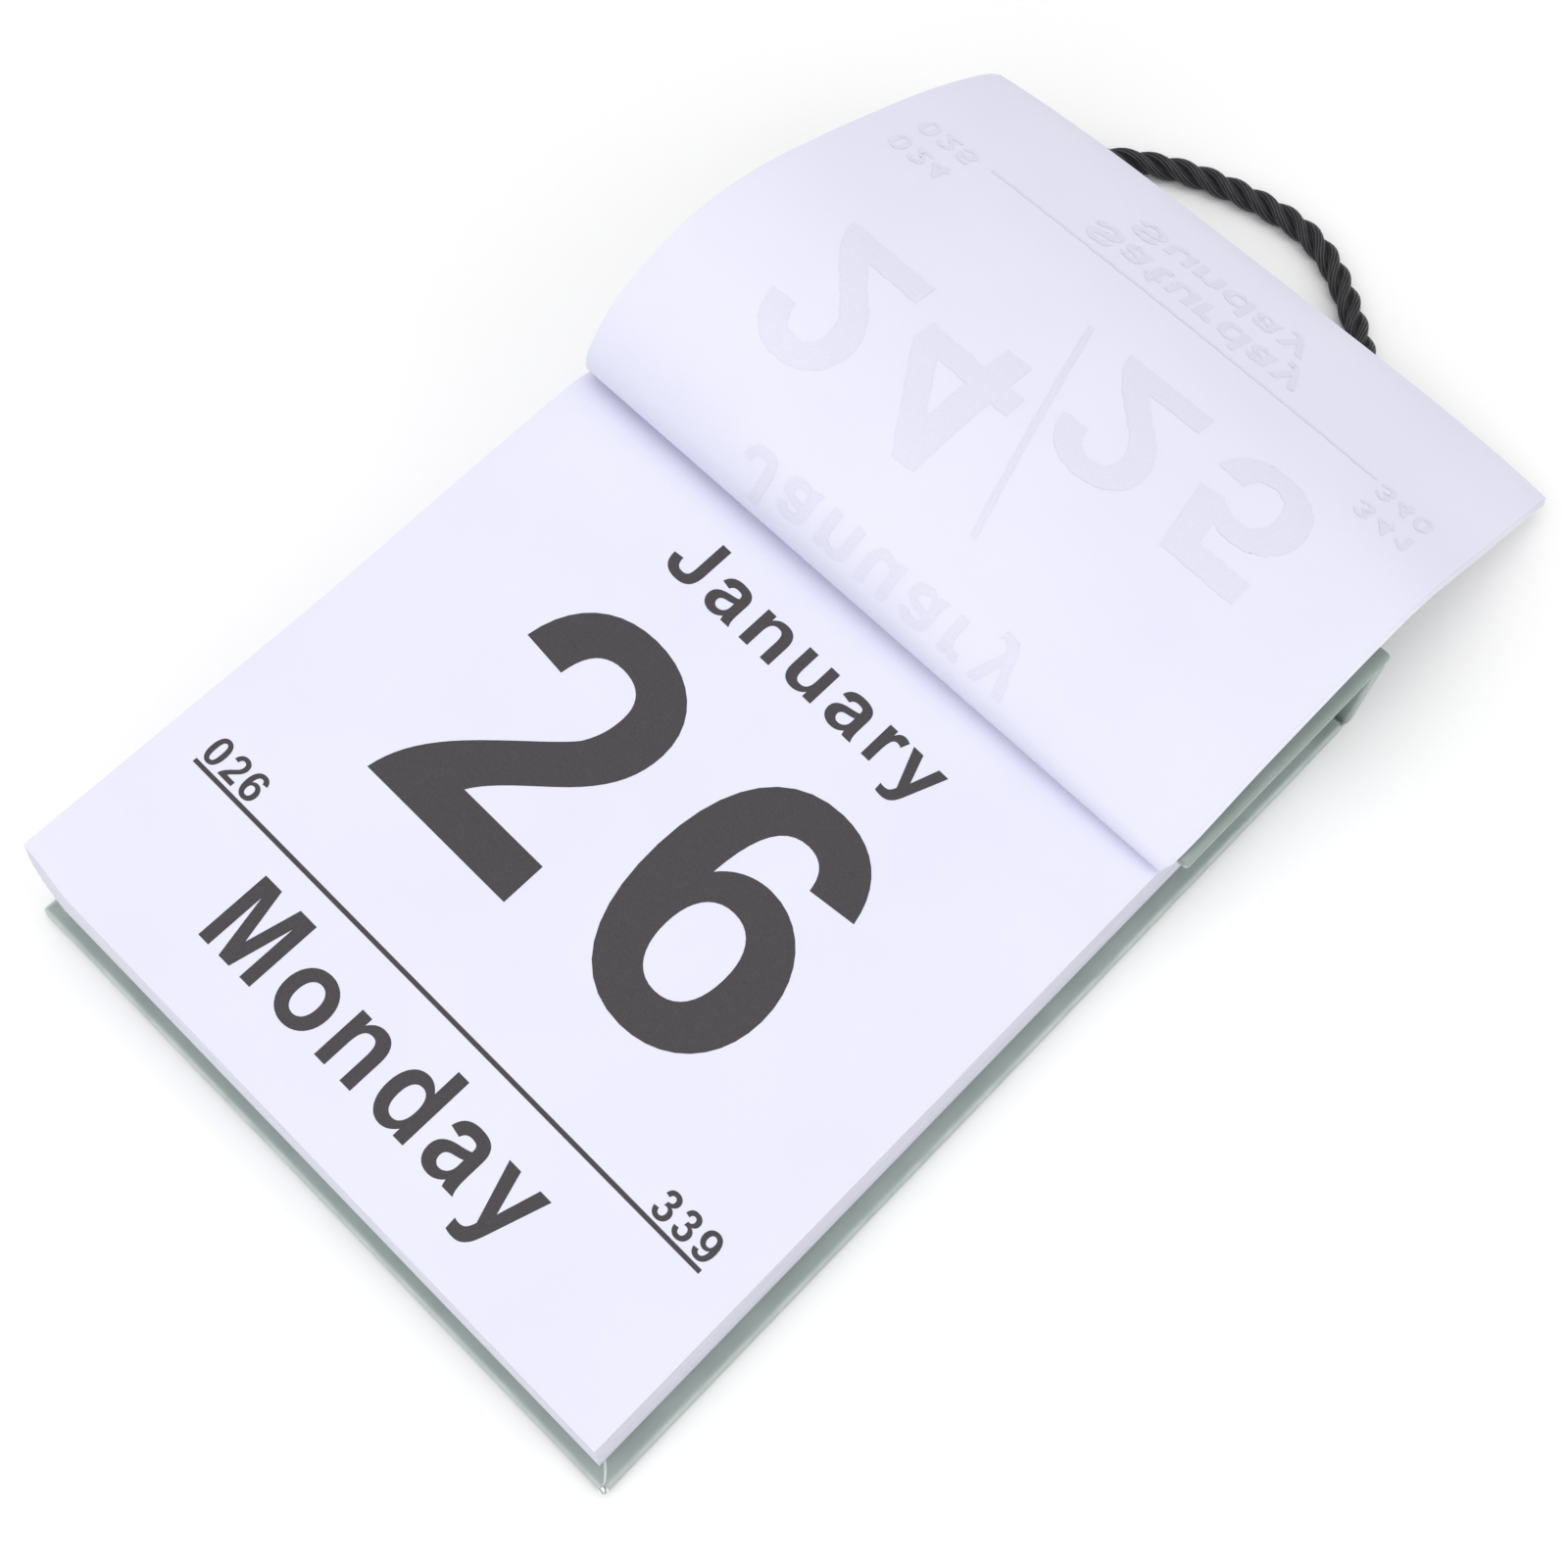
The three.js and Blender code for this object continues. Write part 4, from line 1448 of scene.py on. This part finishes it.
    def build(self) -> list[Piece]:
        """Make the case's three covered panels, the joints between them and the corner folds.

        Returns:
            The pieces.
        """
        edge, joint_edge, lap = CASE_HALF, CASE_HALF - self.joint_inset, self.joint_overlap
        panels = {
            "cover_back": ((-edge, FOOT, 0), (edge, BACK_END, PANEL)),
            "cover_spine": ((-edge, SPINE_INNER, 0), (edge, HEAD, SPINE_TOP)),
            "cover_flap": ((-edge, FLAP_FRONT, FLAP_BOTTOM), (edge, HEAD, FLAP_TOP)),
        }
        joints = {
            "cover_back_joint": (
                (-joint_edge, BACK_END - lap, self.joint_sunk),
                (joint_edge, SPINE_INNER + lap, self.joint_thick),
            ),
            "cover_flap_joint": (
                (-joint_edge, HEAD - self.joint_thick, SPINE_TOP - self.spine_overlap),
                (joint_edge, HEAD - self.joint_sunk, FLAP_BOTTOM + lap),
            ),
        }
        return [
            *(self.panel(name, low, high, self.rounding) for name, (low, high) in panels.items()),
            *(self.panel(name, low, high, self.joint_rounding) for name, (low, high) in joints.items()),
            *(self.corner_fold(f"corner_fold_{name}", side) for name, side in (("left", -1), ("right", 1))),
        ]


# Stage


@dataclass(frozen=True)
class PhotoCamera:
    """Camera at the photo's angle: its place in millimetres and the ways of its own axes."""

    lens: float = 51.75
    sensor: float = 36.0
    place: Point = (115.3, -120.7, 402.4)
    right: Point = (0.71835, 0.69485, 0.03409)
    up: Point = (-0.64834, 0.65089, 0.39496)
    back: Point = (0.25225, -0.30582, 0.91807)

    def build(self) -> None:
        """Set the camera up."""
        data = bpy.data.cameras.new("photo_camera")
        data.lens = self.lens
        data.sensor_width = self.sensor
        data.clip_start = 0.01
        camera = bpy.data.objects.new("photo_camera", data)
        turn = Matrix((self.right, self.up, self.back)).transposed().to_4x4()
        camera.matrix_world = Matrix.Translation(Vector(self.place) * MM) @ turn
        bpy.context.scene.collection.objects.link(camera)
        bpy.context.scene.camera = camera


@dataclass(frozen=True)
class Lamp:
    """Soft square lamp that looks at the calendar, with its place and size in metres."""

    name: str
    place: Point
    size: float
    power: float

    def build(self) -> None:
        """Hang the lamp."""
        lamp = bpy.data.lights.new(self.name, "AREA")
        lamp.size = self.size
        lamp.energy = self.power
        holder = bpy.data.objects.new(self.name, lamp)
        holder.location = self.place
        holder.rotation_euler = (-Vector(self.place)).to_track_quat("-Z", "Y").to_euler()
        bpy.context.scene.collection.objects.link(holder)


@dataclass(frozen=True)
class Stage:
    """Pale floor, bright surroundings and three soft lamps."""

    floor_half: float = 2500.0
    floor_z: float = -0.2
    white_from: float = 0.35
    white_to: float = 0.6
    world_light: float = 0.6
    lamps: tuple[Lamp, ...] = (
        Lamp("soft_overhead", (-0.1, 0.1, 1.2), 0.9, 3.4),
        Lamp("soft_front", (0.0, -0.8, 0.9), 1.0, 4.6),
        Lamp("soft_side", (0.8, 0.3, 0.75), 0.8, 2.0),
    )

    def floor(self) -> None:
        """Lay the floor, which the camera sees as plain white away from the object's shadow."""
        s = Shader("pale_floor")
        colour = s.ramp(s.noise(200.0, 1.0), [(0.3, "#fdfdfd"), (0.7, "#ffffff")])
        distance = s.add("ShaderNodeVectorMath", {0: s.place()}, operation="LENGTH").outputs["Value"]
        seen = s.add("ShaderNodeLightPath", {}).outputs["Is Camera Ray"]
        glow = s.calc("MULTIPLY", s.remap(distance, (self.white_from, self.white_to), (0.0, 1.0)), seen)
        white = (1.0, 1.0, 1.0, 1.0)
        s.finish(colour, 0.9, Specular_IOR_Level=0.0, Emission_Color=white, Emission_Strength=glow)
        far = self.floor_half
        corners = [(-far, -far, 0), (far, -far, 0), (far, far, 0), (-far, far, 0)]
        mesh = make_mesh("floor", corners, [(0, 1, 2, 3)])
        mesh.materials.append(s.material)
        floor = bpy.data.objects.new("floor", mesh)
        floor.location.z = self.floor_z * MM
        bpy.context.scene.collection.objects.link(floor)

    def world(self) -> None:
        """Light the scene from all round, with a white that only the camera sees."""
        world = bpy.data.worlds.new("studio")
        world.use_nodes = True
        nodes, links = world.node_tree.nodes, world.node_tree.links
        background = nodes["Background"]
        background.inputs["Color"].default_value = (1.0, 1.0, 1.0, 1.0)
        level = nodes.new("ShaderNodeMapRange")
        level.inputs["To Min"].default_value = self.world_light
        level.inputs["To Max"].default_value = 1.0
        links.new(nodes.new("ShaderNodeLightPath").outputs["Is Camera Ray"], level.inputs["Value"])
        links.new(level.outputs[0], background.inputs["Strength"])
        bpy.context.scene.world = world

    def build(self) -> None:
        """Make the floor, the surroundings and the lamps."""
        self.floor()
        self.world()
        for lamp in self.lamps:
            lamp.build()
        bpy.context.scene.view_settings.view_transform = "Standard"


def dress_nodes(finishes: Finishes) -> None:
    """Give the CAD nodes that stay their materials.

    Args:
        finishes: Materials of the part.
    """
    looks = {
        finishes.board: ("back_board", "spine_board", "flap_board"),
        finishes.lining: ("lining_sheet",),
        finishes.glue: ("head_glue",),
        finishes.rope: ("knot_left", "knot_right"),
    }
    for material, names in looks.items():
        for name in names:
            for slot in bpy.data.objects[name].material_slots:
                slot.material = material


def main() -> None:
    """Build the calendar and its stage, and report each piece."""
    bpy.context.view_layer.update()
    PhotoCamera().build()
    finishes = Finishes()
    for part in (RopeLoop(finishes), Pad(finishes), TurnedLeaves(finishes), Case(finishes)):
        for piece in part.build():
            log.info("%s: %s, %d faces", type(part).__name__, piece.name, len(piece.data.polygons))
    dress_nodes(finishes)
    Stage().build()


if __name__ == "__main__":
    main()
